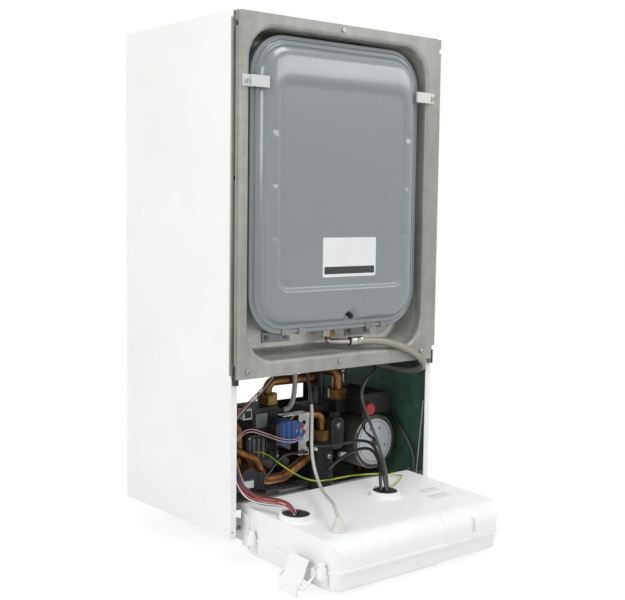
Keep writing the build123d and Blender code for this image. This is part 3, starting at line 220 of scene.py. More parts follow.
class Effect:
    """A shader group that several finishes share, built the first time it is placed."""

    built: ClassVar[dict[str, bpy.types.NodeTree]] = {}
    ins: ClassVar[dict[str, str]] = {"Vector": "Vector", "Scale": "Float"}
    outs: ClassVar[dict[str, str]] = {"Height": "Float"}

    @staticmethod
    def wire(graph: Graph, ins: Sockets) -> tuple[Socket, ...]:
        """Wire the group; each effect has its own.

        Args:
            graph: The group's graph.
            ins: The group's inputs.

        Returns:
            Its outputs, in the order of outs.
        """
        raise NotImplementedError

    @classmethod
    def place(cls, graph: Graph, **values: object) -> Sockets:
        """Place the group in a material.

        Args:
            graph: The material's graph.
            **values: Values or sockets for its inputs.

        Returns:
            The group's outputs.
        """
        name = cls.__name__.lower()
        if name not in cls.built:
            tree = cls.built[name] = bpy.data.node_groups.new(name, "ShaderNodeTree")
            for side, sockets in (("INPUT", cls.ins), ("OUTPUT", cls.outs)):
                for label, kind in sockets.items():
                    tree.interface.new_socket(label, in_out=side, socket_type="NodeSocket" + kind)
            made = cls.wire(Graph(tree), tree.nodes.new("NodeGroupInput").outputs)
            for end, value in zip(tree.nodes.new("NodeGroupOutput").inputs, made):
                tree.links.new(value, end)
        return graph.add("Group", values, node_tree=cls.built[name]).outputs


class Grain(Effect):
    """Fine height grain, as on moulded plastic, paint and castings."""

    @staticmethod
    def wire(graph: Graph, ins: Sockets) -> tuple[Socket, ...]:
        """A coarse and a fine noise."""
        coarse = graph.noise(ins[0], ins[1], 2.0, 0.45)
        fine = graph.noise(ins[0], graph.math("MULTIPLY", ins[1], 3.1), 2.0, 0.6)
        return (graph.blend(0.35, coarse, fine),)


class Mottle(Effect):
    """Soft patches of a second tone over a colour."""

    ins = {"Vector": "Vector", "Scale": "Float", "Colour": "Color", "Tone": "Color", "Amount": "Float"}
    outs = {"Colour": "Color", "Mask": "Float"}

    @staticmethod
    def wire(graph: Graph, ins: Sockets) -> tuple[Socket, ...]:
        """The mottled colour and the patches' mask."""
        mask = graph.spread(graph.noise(ins[0], ins[1], 4.0, 0.55), 0.35, 0.68)
        return graph.mix(graph.math("MULTIPLY", mask, ins[4], clamp=True), ins[2], ins[3]), mask


class Zone(Effect):
    """A mask that is 1 inside a box and 0 outside it."""

    ins = {"Vector": "Vector", "Low": "Vector", "High": "Vector"}
    outs = {"Mask": "Float"}

    @staticmethod
    def wire(graph: Graph, ins: Sockets) -> tuple[Socket, ...]:
        """The place compared with both corners, axis by axis.

        Args:
            graph: The group's graph.
            ins: The group's inputs.

        Returns:
            Its outputs, in the order of outs.
        """
        result: object = 1.0
        for here, low, high in zip(*(graph.split(ins[i]) for i in range(3))):
            above, below = graph.math("GREATER_THAN", here, low), graph.math("LESS_THAN", here, high)
            result = graph.math("MULTIPLY", result, graph.math("MULTIPLY", above, below))
        return (result,)


@dataclass
class Surface:
    """What a finish says about each point of a surface."""

    colour: object
    roughness: object
    metallic: object = 0.0
    height: Optional[Socket] = None


@dataclass(frozen=True)
class Finish:
    """A finish of the boiler: its colour and how it catches light."""

    name: str
    colour: str = "FFFFFF"
    roughness: float = 0.5
    relief: float = 0.1
    coat: float = 0.0
    specular: float = 0.5
    reads: ClassVar[str] = "Object"
    clearness: ClassVar[float] = 0.0

    def surface(self, graph: Graph, place: Socket) -> Surface:
        """What the finish shows; here one plain colour.

        Args:
            graph: The material's graph.
            place: The coordinates that it reads.

        Returns:
            The surface.
        """
        return Surface(shade(self.colour), self.roughness)

    def tones(self, graph: Graph, place: Socket, scale: float, tone: str, amount: float) -> Sockets:
        """The colour with patches of a second tone, and the patches' mask."""
        return Mottle.place(
            graph, Vector=place, Scale=scale, Colour=shade(self.colour), Tone=shade(tone), Amount=amount
        )

    def gloss(self, graph: Graph, value: object, low: float, high: float, less: float, more: float) -> Socket:
        """The roughness, less and more by so much where a value runs from low to high."""
        return graph.spread(value, low, high, self.roughness + less, self.roughness + more)

    def material(self) -> bpy.types.Material:
        """The finish as a material, built the first time it is asked for.

        Returns:
            The material.
        """
        label = self.name + "_look"
        if label in bpy.data.materials:
            return bpy.data.materials[label]
        made = bpy.data.materials.new(label)
        graph = Graph.of(made)
        look = self.surface(graph, graph.add("TexCoord").outputs[self.reads])
        ins = {
            "Base Color": look.colour, "Roughness": look.roughness, "Metallic": look.metallic,
            "Coat Weight": self.coat, "Coat Roughness": COAT_ROUGHNESS, "Specular IOR Level": self.specular,
            "Transmission Weight": self.clearness,
        }
        if look.height is not None:
            bump = {"Strength": self.relief, "Distance": BUMP_DEPTH, "Height": look.height}
            ins["Normal"] = graph.add("Bump", bump).outputs[0]
        graph.add("OutputMaterial", {0: graph.add("BsdfPrincipled", ins).outputs[0]})
        return made


@dataclass(frozen=True)
class Patched(Finish):
    """A grained surface whose tone and gloss change in soft patches."""

    tone: str = "E6E6E2"
    amount: float = 0.6
    patch: float = 5.0
    grain: float = 260.0
    metal: float = 0.0
    shine: ClassVar[Pair] = (-0.04, 0.06)

    def surface(self, graph: Graph, place: Socket) -> Surface:
        """A grained surface with patches of a second tone and gloss."""
        colour, mask = self.tones(graph, place, self.patch, self.tone, self.amount)
        grain = Grain.place(graph, Vector=place, Scale=self.grain)[0]
        return Surface(colour, self.gloss(graph, mask, 0, 1, *self.shine), self.metal, grain)


class SprayedPaint(Patched):
    """Stove-enamelled or sprayed sheet steel with a faint orange peel."""


@dataclass(frozen=True)
class Moulding(Patched):
    """Moulded plastic or rubber with a fine grain and a trace of dust."""

    tone: str = "6E6E6C"
    amount: float = 0.10
    patch: float = 24.0
    grain: float = 900.0
    shine: ClassVar[Pair] = (-0.03, 0.08)


@dataclass(frozen=True)
class BareMetal(Patched):
    """Drawn, turned or cast metal, tarnished in patches."""

    tone: str = "4A3A30"
    patch: float = 40.0
    grain: float = 500.0
    metal: float = 1.0
    shine: ClassVar[Pair] = (0.0, 0.2)


@dataclass(frozen=True)
class ZincSheet(Finish):
    """Hot-dip galvanised or zinc-plated sheet: rolling streaks, faint spangle and handling marks."""

    dark: str = "8B877C"
    light: str = "BFBCB2"
    rolled: Point = (38.0, 38.0, 2.6)
    spangle: float = 95.0
    metal: float = 0.5

    def surface(self, graph: Graph, place: Socket) -> Surface:
        """Streaked, spangled zinc.

        Args:
            graph: The material's graph.
            place: The coordinates that it reads.

        Returns:
            The surface.
        """
        streak = graph.noise(graph.stretch(place, self.rolled), 1.0, 5.0, 0.6)
        cell = graph.add("TexVoronoi", {"Vector": place, "Scale": self.spangle}, feature="F1", distance="EUCLIDEAN")
        flake = graph.add("SeparateColor", {0: cell.outputs["Color"]}).outputs
        toned = self.tones(graph, place, 7.0, self.dark, 0.55)[0]
        lit = graph.mix(graph.spread(streak, 0.5, 0.72, 0.0, 0.6), toned, shade(self.light))
        dull = graph.mix(graph.spread(streak, 0.5, 0.3, 0.0, 0.45), lit, shade(self.dark))
        colour = graph.mix(1.0, dull, graph.spread(flake[0], 0, 1, 0.94, 1.05), "MULTIPLY")
        rough = graph.math("ADD", graph.spread(streak, 0.3, 0.7, -0.07, 0.08), self.roughness)
        return Surface(colour, rough, self.metal, flake[1])


@dataclass(frozen=True)
class FinnedStack(Finish):
    """Thin fins stacked across a block, as on a heat exchanger."""

    # gap is the dark colour painted between the fins as painted shade; the fins are also mottled with it.
    gap: str = "2A211B"
    pitch: float = 2.4

    def surface(self, graph: Graph, place: Socket) -> Surface:
        """Bright fins and painted shade in the gaps between them, along X."""
        wave = graph.math("SINE", graph.math("MULTIPLY", graph.split(place)[0], math.tau / (self.pitch * MM)))
        fins = self.tones(graph, place, 30.0, self.gap, 0.4)[0]
        return Surface(graph.mix(graph.spread(wave, 0.1, 0.7), fins, shade(self.gap)), self.roughness, 0.9, wave)


@dataclass(frozen=True)
class Sheath(Finish):
    """A wire's sheath on its tube's own map, along it, then round it.

    second colours a stripe that winds round it, and sleeve is the share of it under a black sleeve.
    """

    roughness: float = 0.42
    relief: float = 0.05
    second: str = ""
    share: float = 0.4
    sleeve: float = 0.0
    reads: ClassVar[str] = "UV"
    soil: ClassVar[str] = "4A4846"
    black: ClassVar[str] = "1E1F21"
    winds: ClassVar[float] = 6.0

    def surface(self, graph: Graph, place: Socket) -> Surface:
        """A slightly dulled sheath with its stripe or its sleeve.

        Args:
            graph: The material's graph.
            place: The coordinates that it reads.

        Returns:
            The surface.
        """
        soil = graph.noise(place, 14.0, 3.0)
        colour = graph.mix(graph.spread(soil, 0.45, 0.75, 0.0, 0.3), shade(self.colour), shade(self.soil))
        along, across = graph.split(place)[:2]
        if self.second:
            turn = graph.math("FRACT", graph.math("ADD", across, graph.math("MULTIPLY", along, self.winds)))
            colour = graph.mix(graph.math("LESS_THAN", turn, self.share), colour, shade(self.second))
        if self.sleeve:
            colour = graph.mix(graph.math("LESS_THAN", along, self.sleeve), colour, shade(self.black))
        return Surface(colour, self.gloss(graph, soil, 0.3, 0.7, -0.05, 0.08), 0.0, soil)


@dataclass(frozen=True)
class BraidedWire(Finish):
    """Stainless wires braided over a hose, on its tube's own map: turns along it and round it."""

    # gap is the dark grey between the strands: partly the hose beneath, partly painted shade.
    gap: str = "55534E"
    turns: Pair = (46.0, 6.0)
    reads: ClassVar[str] = "UV"

    def surface(self, graph: Graph, place: Socket) -> Surface:
        """Bright strands where two waves cross, and dark gaps that are partly the hose beneath and partly painted
        shade.

        Args:
            graph: The material's graph.
            place: The coordinates that it reads.

        Returns:
            The surface.
        """
        ways = [graph.math("MULTIPLY", way, count) for way, count in zip(graph.split(place), self.turns)]
        phases = (graph.math(sign, *ways) for sign in ("ADD", "SUBTRACT"))
        waves = (graph.math("SINE", graph.math("MULTIPLY", phase, math.tau)) for phase in phases)
        height = graph.math("ABSOLUTE", graph.math("MULTIPLY", *waves))
        colour = graph.mix(graph.spread(height, 0.02, 0.22, 1.0, 0.0), shade(self.colour), shade(self.gap))
        return Surface(colour, self.roughness, 0.85, height)


@dataclass(frozen=True)
class ClearPane(Finish):
    """A clear moulded window, lightly smoked, with faint wiping marks."""

    wiped: str = "2C3034"
    clearness: ClassVar[float] = 0.35

    def surface(self, graph: Graph, place: Socket) -> Surface:
        """Smoked plastic, duller where it was wiped."""
        marks = graph.noise(graph.stretch(place, (400.0, 40.0, 40.0)), 1.0, 3.0)
        colour = graph.mix(graph.spread(marks, 0.3, 0.7, 0.0, 0.25), shade(self.colour), shade(self.wiped))
        return Surface(colour, self.gloss(graph, marks, 0.3, 0.7, 0.0, 0.1))


@dataclass(frozen=True)
class Zoned(Finish):
    """One node's pieces in two finishes: base, and over that covers boxes of space.

    A box is its low and high corners, in millimetres as x, depth and height.
    """

    base: Finish = Finish("bare")
    over: Finish = Finish("bare")
    boxes: tuple[Span, ...] = ()

    def surface(self, graph: Graph, place: Socket) -> Surface:
        """The base surface with the other laid over it.

        Args:
            graph: The material's graph.
            place: The coordinates that it reads.

        Returns:
            The surface.
        """
        below, above = self.base.surface(graph, place), self.over.surface(graph, place)
        mask: object = 0.0
        for low, high in self.boxes:
            inside = Zone.place(graph, Vector=place, Low=at(*low), High=at(*high))[0]
            mask = graph.math("MAXIMUM", mask, inside)
        numbers = ((getattr(below, n), getattr(above, n)) for n in ("roughness", "metallic", "height"))
        return Surface(graph.mix(mask, below.colour, above.colour), *(graph.blend(mask, a, b) for a, b in numbers))


# Every finish that more than one piece may have, under a maker's plain name.
ENAMEL = SprayedPaint("white_enamel", "F1F1EF", 0.42, 0.05, 0.25, tone="E7E7E4")
ZINC = ZincSheet("zinc_sheet", "A0A09B", 0.44, 0.06, dark="868580", light="B6B5B0", metal=0.3)
ZINC_DARK = ZincSheet("zinc_frame", "6E6D69", 0.5, 0.08, dark="4C4B48", light="8A8984", metal=0.5)
FOLD = ZincSheet("folded_zinc", "989690", 0.42, 0.06, dark="7C7A73", light="AFADA6")
TRAY = ZincSheet("tray_sheet", "939393", 0.42, 0.06, dark="66666A", light="BEBEBE", rolled=(4, 40, 40))
BRACKET = ZincSheet("bracket_steel", "8E908F", 0.36, 0.06, dark="6A6C6B", light="B4B6B5")
PLATED = BareMetal("plated_steel", "B4B5B3", 0.28, 0.08, tone="77736A", amount=0.45)
VESSEL = SprayedPaint("vessel_paint", "7B8386", 0.24, 0.03, 0.85, 0.6, "747C80", 0.6, 9.0, 420.0)
WHITE_MOULDING = Moulding("white_moulding", "F0F1F1", 0.46, 0.03, tone="EBECED", amount=0.6, grain=700.0)
NYLON = Moulding("natural_nylon", "D3D4D2", 0.38, 0.05, tone="C6C6C2", amount=0.6)
CONE = Moulding("grey_white_moulding", "D5D3D0", 0.45, 0.08, tone="C4C2BE", amount=0.6)
BLACK = Moulding("black_moulding", "121315", 0.4, 0.15, tone="2C2C2B", amount=0.35, grain=620.0)
MATT_BLACK = Moulding("matt_black_moulding", "0B0C0D", 0.6, 0.2, tone="1F1E1D", amount=0.4, grain=420.0)
RUBBER = Moulding("black_rubber", "1B1C1E", 0.55, 0.2, tone="333332", amount=0.4, grain=480.0)
BLUE = Moulding("blue_moulding", "2A5596", 0.42, 0.1, tone="2A4A80", amount=0.5)
RED = Moulding("red_moulding", "B0332F", 0.45, 0.08, tone="8E2A28", amount=0.5)
LABEL = Moulding("blank_label", "E4E6E7", 0.34, 0.03, tone="D6D9DA", amount=0.5, grain=260.0)
BAND = Moulding("label_band", "2A2C2F", 0.36, 0.03, tone="3A3C3F", amount=0.5, grain=260.0)
COPPER = BareMetal("aged_copper", "9E7048", 0.38, 0.12, tone="523A25", amount=0.85, patch=46.0)
BRASS = BareMetal("machined_brass", "8B7042", 0.4, 0.12, tone="4E3C24", amount=0.85, patch=70.0)
CASTING = BareMetal("grey_casting", "3B3C3D", 0.5, 0.35, tone="1E1E1F", amount=0.8, patch=50.0, metal=0.3)
ALUMINIUM = BareMetal("cast_aluminium", "A5A6A5", 0.45, 0.3, tone="6F706F", amount=0.5)
MOTOR = BareMetal("motor_can", "5F5C57", 0.46, 0.14, tone="3E3B36", amount=0.7, metal=0.4)
DISC = Moulding("pale_disc", "CFD2D7", 0.36, 0.05, tone="B3B7BE", amount=0.7, grain=180.0)
BOARD = Moulding("circuit_board", "1F5C3A", 0.4, 0.15, tone="2C7A4E", amount=0.8, grain=300.0)
FINS = FinnedStack("copper_fins", "A8714C", 0.4, 0.5)
PANE = ClearPane("smoked_pane", "4A5055", 0.12, 0.02)
GREY_TUBE = Sheath("grey_tube", "A9ABAA", 0.38, coat=0.2)
GREY_SHEATH = Sheath("grey_sheath", "BDBDBA", sleeve=0.2)
BLACK_SHEATH = Sheath("black_sheath", "26282B", 0.33, 0.06, coat=0.1)
BRAID = BraidedWire("braided_wire", "A19E94", 0.38, 0.9)

Looks = tuple[tuple[Finish, str], ...]


# ---------------------------------------------------------------- building


class Shape:
    """A mesh built up from turned, rounded and plated forms."""

    def __init__(self) -> None:
        """Start empty."""
        self.mesh = bmesh.new()

    def take(self, part: bmesh.types.BMesh, centre: Vector, turn: Matrix, slot: int) -> None:
        """Take in a form that was made about the origin, and use it up.

        Args:
            part: The form.
            centre: Where it goes, in metres.
            turn: Its turn about that place.
            slot: Its finish's number.
        """
        bmesh.ops.transform(part, matrix=Matrix.Translation(centre) @ turn, verts=part.verts[:])
        for face in part.faces:
            face.material_index = slot
        scrap = bpy.data.meshes.new("joining")
        part.to_mesh(scrap)
        part.free()
        self.mesh.from_mesh(scrap)
        bpy.data.meshes.remove(scrap)

    def block(
        self, centre: Vector, size: Point, soft: float = 0.6, slot: int = 0, turn: Optional[Matrix] = None,
        upright: bool = False,
    ) -> None:
        """Add a block with rounded edges.

        Args:
            centre: Its centre, in metres.
            size: Its size in millimetres.
            soft: The radius of its edges, in millimetres.
            slot: Its finish's number.
            turn: A turn about its centre.
            upright: Whether it is a plate that faces -Y, with only its corners rounded.
        """
        part = bmesh.new()
        made = bmesh.ops.create_cube(part, size=1.0)
        bmesh.ops.scale(part, vec=Vector(size) * MM, verts=made["verts"])
        edges = [e for e in part.edges if not upright or abs(e.verts[0].co.y - e.verts[1].co.y) > MERGE]
        if soft:
            bmesh.ops.bevel(
                part, geom=edges, offset=soft * MM, offset_type="OFFSET", affect="EDGES", profile=0.5, material=-1,
                segments=CORNER_STEPS if upright else SOFT_STEPS, clamp_overlap=True,
            )
        self.take(part, centre, turn or Matrix.Identity(4), slot)

    def row(self, start: Point, step: Point, count: int, size: Point, soft: float = 0.6, slot: int = 0) -> None:
        """Add a row of like blocks, each a step on from the last, with all sizes in millimetres."""
        for k in range(count):
            self.block(at(*start) + Vector(step) * k * MM, size, soft, slot)

    def turned(self, centre: Vector, profile: Iterable[Pair], slot: int, steps: int, axis: Axis = Axis.Y) -> None:
        """Add a piece turned about an axis.

        Args:
            centre: Where its axis starts, in metres.
            profile: Radius and distance along the axis of each point, in millimetres.
            slot: Its finish's number.
            steps: Its segments round.
            axis: Its axis.
        """
        part = bmesh.new()
        verts = [part.verts.new((r * MM, 0.0, h * MM)) for r, h in profile]
        for pair in zip(verts, verts[1:]):
            part.edges.new(pair)
        bmesh.ops.spin(
            part, geom=part.verts[:] + part.edges[:], cent=(0, 0, 0), axis=(0, 0, 1), angle=math.tau, steps=steps,
            use_merge=True, use_duplicate=False,
        )
        bmesh.ops.remove_doubles(part, verts=part.verts[:], dist=MERGE)
        bmesh.ops.recalc_face_normals(part, faces=part.faces[:])
        aim = Vector((0, 0, 1)).rotation_difference(Vector(axis.value)).to_matrix().to_4x4()
        self.take(part, centre, aim, slot)

    def solid(self, centre: Vector, rim: list[Pair], slot: int, steps: int, axis: Axis = Axis.Y) -> None:
        """Add a solid turned piece, whose rim is closed onto its axis at both ends."""
        self.turned(centre, [(0, rim[0][1]), *rim, (0, rim[-1][1])], slot, steps, axis)

    def screw(self, centre: Vector, radius: float, slot: int, dark: int) -> None:
        """Add a pan head whose cross recess, facing -Y, is a dark cross of painted shade.

        Args:
            centre: The seat of the head, in metres.
            radius: The head's radius in millimetres.
            slot: The head's finish.
            dark: The recess's finish, a dark colour painted as the shade in the recess.
        """
        self.turned(centre, [(r * radius, -h * radius) for r, h in SCREW_HEAD], slot, SCREW_STEPS)
        # The recess is two dark bars on the head: painted shade, not a hollow.
        for angle in (0.0, math.pi / 2):
            bar = tuple(share * radius for share in SCREW_SLOT)
            self.block(centre - Vector((0, SLOT_LIFT * radius * MM, 0)), bar, 0, dark, Matrix.Rotation(angle, 4, "Y"))

    def piece(
        self, name: str, finishes: Iterable[Finish], node: str = "", body: Body = Body.CASING, crease: float = 38.0
    ) -> None:
        """Turn the shape into a piece that rides on a body.

        Args:
            name: The piece's name.
            finishes: Its finishes, in the order of their numbers.
            node: The node that it stands for, where there is one.
            body: The body that it rides on.
            crease: The angle in degrees past which an edge stays sharp.
        """
        for face in self.mesh.faces:
            face.smooth = True
        for edge in self.mesh.edges:
            edge.smooth = edge.calc_face_angle(0.0) < math.radians(crease)
        mesh = bpy.data.meshes.new(name)
        self.mesh.to_mesh(mesh)
        self.mesh.free()
        made = placed(name, mesh, finishes)
        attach(made, body.value)
        if node:
            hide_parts(node)
        log.info("%s rides on %s", name, body.value)


def placed(name: str, data: bpy.types.ID, finishes: Iterable[Finish] = ()) -> bpy.types.Object:
    """Put a mesh, camera or lamp into the scene.

    Args:
        name: The object's name.
        data: Its mesh, camera or lamp.
        finishes: The finishes added to a mesh.

    Returns:
        The object.
    """
    for finish in finishes:
        data.materials.append(finish.material())
    made = bpy.data.objects.new(name, data)
    bpy.context.scene.collection.objects.link(made)
    return made


@dataclass
class SubAssembly:
    """A group of the boiler's nodes with their finishes, and the pieces added to it."""

    looks: Looks = ()

    def dress(self) -> None:
        """Give each node its finish; looks holds each finish with its nodes' names."""
        for finish, names in self.looks:
            for name in names.split():
                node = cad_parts[name]
                if not node.material_slots:
                    node.data.materials.append(finish.material())
                for slot in node.material_slots:
                    slot.material = finish.material()
                log.info("%s is finished in %s", name, finish.name)

    def build(self) -> None:
        """Add the group's own pieces."""


# ---------------------------------------------------------------- cords


@dataclass
class Cord:
    """A hose, cable or wire: its control points, thickness, true length (0 where as laid) and finish."""

    name: str
    node: str
    route: Route
    diameter: float
    length: float
    finish: Finish
    stiffness: Stiffness = Stiffness.MEDIUM
    lay: Lay = Lay.LOOSE
    fold: Optional[Span] = None
    body: Body = Body.CASING

    def tube(self, radius: float) -> bpy.types.Mesh:
        """The route as a mesh.

        Args:
            radius: The tube's radius in metres, or 0 for the bare line.

        Returns:
            The mesh.
        """
        curve = bpy.data.curves.new(self.name + "_route", "CURVE")
        curve.dimensions = "3D"
        spline = curve.splines.new("NURBS")
        spline.points.add(len(self.route) - 1)
        for point, place in zip(spline.points, self.route):
            point.co = (*at(*place), 1.0)
        spline.order_u = CORD_ORDER
        spline.use_endpoint_u = True
        curve.resolution_u = CORD_STEPS
        curve.bevel_depth = radius
        curve.bevel_resolution = CORD_SIDES
        curve.use_fill_caps = radius > 0
        line = bpy.data.objects.new(self.name + "_route", curve)
        mesh = bpy.data.meshes.new_from_object(line)
        bpy.data.objects.remove(line)
        return mesh

    def points(self) -> list[Point]:
        """The points that the tube follows, read from the route's own line.

        Returns:
            The points, in metres.
        """
        mesh = self.tube(0.0)
        found = [tuple(v.co) for v in mesh.vertices]
        bpy.data.meshes.remove(mesh)
        return found

    def build(self) -> None:
        mesh = self.tube(self.diameter * MM / 2)
        mesh.name = self.name
        mesh.materials.clear()
        mesh.polygons.foreach_set("use_smooth", [len(p.vertices) < 5 for p in mesh.polygons])
        made = placed(self.name, mesh, (self.finish,))
        if self.fold:
            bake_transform(made)
        else:
            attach(made, self.body.value)
        if self.node:
            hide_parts(self.node)
        path = self.points()


def beside(route: Route, step: Point, count: int) -> Route:
    """A route laid beside another, so many steps away."""
    return tuple((x + step[0] * count, d + step[1] * count, z + step[2] * count) for x, d, z in route)


@dataclass
class Wiring(SubAssembly):
    """Every hose, cable and wire that the open boiler shows, and their plugs.

    strands are the harness's wires: a name, a colour and the angle round the bundle.
    """

    bundle_radius: float = 2.5
    bundle_sag: float = 3.4
    bundle_twist: float = 5.0
    bundle_squash: float = 0.6
    pump_step: Point = (3.4, -1.5, -5.0)
    coil_step: Point = (0, -0.2, -4.0)
    sensor_gap: float = 2.2
    strands: tuple[tuple[str, str, float], ...] = (
        ("red", "A8352F", 90), ("maroon", "5E3A34", 45), ("magenta", "A8324F", 0), ("orange", "C0703A", -45),
        ("blue", "35599C", -90), ("black", "232325", -135), ("white", "DAD8D4", 180), ("scarlet", "B2443A", 135),
        ("dark", "2A2A2C", 68), ("pale", "C9C7C2", -20),
    )
    sensor_colours: tuple[str, ...] = ("2A2A2C", "C9C8C4", "A9532E")
    box_fold: Span = ((50.0, 54.0, 120.0), (50.0, -51.0, 70.0))
    grey_fold: Span = ((-34, 21, 150), (-112, -122, 69))
    earth_fold: Span = ((26, 29, 49.5), (131, -11, 46.5))
    harness_fold: Span = ((-183, 13, 116), (-147, -62, 58))
    pump_wires_leave: Point = (62, -26, 112)
    crimp: tuple[Pair, ...] = (
        (6.1, 0), (7.2, 0.4), (7.2, 3.6), (6.7, 4.4), (6.7, 6.0), (7.2, 6.8), (7.2, 11.5), (6.6, 12.2), (6.1, 12.2),
    )

    hose: Route = (
        (34.2, -1, 271), (56, -5, 271), (79, -10, 269), (101, -15, 264), (122, -20, 256), (143, -23, 245),
        (162, -21, 232), (174, -9, 221), (179, 8, 213), (180, 28, 208.5), (179, 53, 208), (176, 82, 210),
        (170, 108, 212), (157, 130, 211), (143, 145, 206), (138, 150, 196), (138, 150, 186),
    )
    drain: Route = (
        (-26, 104, 153), (-16, 104, 153), (-8, 104, 160), (-5, 103, 173), (-4, 101, 192), (-4, 101, 231.7),
    )
    relief: Route = (
        (176.7, 100, 145), (185, 99, 144), (190, 88, 135), (189, 70, 122), (185, 52, 108), (185, 36, 92),
        (187, 24, 73), (184, 16, 53), (181, 20, 35), (181, 38, 24.5), (181, 64, 22), (181, 92, 22.5),
        (181, 118, 24), (181, 139, 24),
    )
    harness: Route = (
        (-178, 52, 231.7), (-178, 50, 216), (-186, 37, 180), (-184.5, 30, 146), (-184, 19, 113), (-180, 10, 84),
        (-173, 0, 64), (-163, -15, 57), (-155, -34, 57), (-149, -54, 59), (-144.5, -69, 56), (-142, -75, 47),
    )
    grey: Route = (
        (-27, 42, 231.7), (-27, 40.5, 212), (-27, 34, 190), (-29, 27, 167), (-34, 21, 140), (-40, 14, 113),
        (-46, 2, 88), (-54, -18, 71), (-68, -44, 64), (-85, -74, 64), (-102, -104, 67), (-117, -131, 68),
        (-126, -149, 57),
    )
    long_black: Route = (
        (116, 45, 231.1), (114.5, 43, 221), (107, 34, 215.5), (93, 23, 213), (75, 14.5, 209), (60, 9, 199),
        (53, 5, 184), (52, 1, 172), (58, -4, 152), (62, -12, 132), (62, -25, 112), (59, -40, 91), (54, -54, 70),
        (50, -61, 50),
    )
    left_black: Route = (
        (24.3, 86, 91), (38, 79, 90), (54, 72, 91), (70, 60, 95), (82, 42, 101), (86, 20, 102), (80, 0, 97),
        (70, -20, 87), (57, -42, 74), (47, -58, 60), (44, -66, 47),
    )
    low_black: Route = (
        (50, 78.3, 52), (52, 68, 62), (58, 54, 74), (67, 38, 86), (76, 20, 93.5), (77, 3, 93), (71, -15, 86),
        (59, -36, 73), (45, -50, 60), (38, -60, 47),
    )
    earth: Route = (
        (-91, 92.4, 96), (-87, 83, 98), (-78, 69, 92.5), (-62, 55, 76.5), (-42, 44, 61), (-20, 36, 51),
        (2, 32, 48.5), (26, 29, 49.5), (52, 26, 50.5), (79, 20, 50), (101, 11, 49), (117, 1, 48),
        (125, -6, 47.2), (130, -11, 46.4),
    )
    actuator: Route = (
        (7, 83.2, 85), (-10, 82, 85), (-26, 77, 88), (-43, 71, 89), (-59, 67, 86), (-73, 64, 78), (-83, 63, 67),
        (-93.9, 63, 61),
    )
    coil: Route = (
        (-190, 66, 100), (-176, 65, 105), (-160, 63, 118), (-145, 62, 131), (-132, 62, 140), (-118, 63, 141),
        (-103, 64, 136), (-82, 64, 127), (-60, 63, 118), (-42, 62, 114), (-27, 62, 115), (-18, 69.3, 118),
    )
    sensor: Route = (
        (-190, 70, 120), (-174, 70, 124), (-155, 71, 140), (-135, 73, 156), (-115, 78, 170), (-95, 84, 180),
        (-75, 91, 189), (-57, 96, 199), (-45, 97, 213), (-42, 97, 231.7),
    )
    earth_leg: Route = (
        (130, -11, 46.4), (117, -22, 45.8), (98, -33, 45.8), (80, -44, 46.6), (64, -53, 49), (52, -57, 50),
    )
    pump_wire: Route = ((66, -8, 118), (76, 18, 119), (90, 42, 121), (101, 55, 130), (107, 59, 143), (110, 61.4, 155))

    def harness_route(self, angle: float) -> Route:
        """One wire's own route, laid round the bundle's and turning slowly with it.

        Args:
            angle: Where the wire starts round the bundle, in degrees.

        Returns:
            Its control points.
        """
        route = []
        for i, (x, d, z) in enumerate(self.harness):
            turn = math.radians(angle + self.bundle_twist * i)
            radius = self.bundle_radius + self.bundle_sag * math.sin(math.pi * i / (len(self.harness) - 1))
            side, rise = radius * math.cos(turn), radius * math.sin(turn)
            route.append((x + side, d + self.bundle_squash * rise, z + (rise if i else 0.0)))
        return tuple(route)

    def pump_cords(self, trunk: Cord) -> list[Cord]:
        """The pump's two thin wires, which leave a black cable.

        Args:
            trunk: The black cable.

        Returns:
            The wires.
        """
        leave = at(*self.pump_wires_leave)
        x, y, z = min((Vector(p) for p in trunk.points()), key=lambda p: (p - leave).length) / MM
        made = []
        for i, name in enumerate(("near", "far")):
            route = ((x, y + BODY_DEPTH, z), *beside(self.pump_wire, self.pump_step, i))
            made.append(Cord("pump_wire_" + name, "", route, 2.6, 0, trunk.finish, fold=trunk.fold))
        return made

    def cords(self) -> list[Cord]:
        """Every cord in its order.

        Returns:
            The cords.
        """
        fold, black, limp, hanging = self.box_fold, BLACK_SHEATH, Stiffness.LIMP, Lay.HANGING
        pink = Sheath("pink_sheath", "CDA9AC", 0.45)
        earth = Sheath("earth_sheath", "BFC81C", 0.4, second="5E9A22", share=0.38)
        branch = Sheath("earth_branch_sheath", "BFC81C", 0.4, second="7FAE22", share=0.3)
        made = [
            Cord("braided_hose_tube", "braided_hose", self.hose, 12, 346, BRAID, Stiffness.STIFF),
            Cord("drain_hose_tube", "grey_hose", self.drain, 8, 92, GREY_TUBE),
            Cord("relief_hose_tube", "relief_hose", self.relief, 6.8, 272, black),
            Cord("grey_cable_tube", "grey_cable", self.grey, 5, 326, GREY_SHEATH, fold=self.grey_fold),
            Cord("black_cable_long", "black_cables", self.long_black, 5, 250, black, fold=fold),
            Cord("black_cable_left", "black_cables", self.left_black, 5, 205, black, fold=fold),
            Cord("black_cable_low", "black_cables", self.low_black, 5, 182, black, fold=fold),
            Cord("earth_wire_main", "earth_wire", self.earth, 2.4, 280, earth, fold=self.earth_fold),
            Cord("actuator_cable", "loom_wires", self.actuator, 4, 112, black),
            Cord("earth_wire_leg", "", self.earth_leg, 2.4, 0, branch, body=Body.BOX),
        ]
        made.extend(self.pump_cords(made[4]))
        for name, colour, angle in self.strands:
            finish, route = Sheath(name + "_sheath", colour), self.harness_route(angle)
            bundle = ("harness_wires", route, 1.9, 258, finish, limp, hanging, self.harness_fold)
            made.append(Cord("harness_" + name, *bundle))
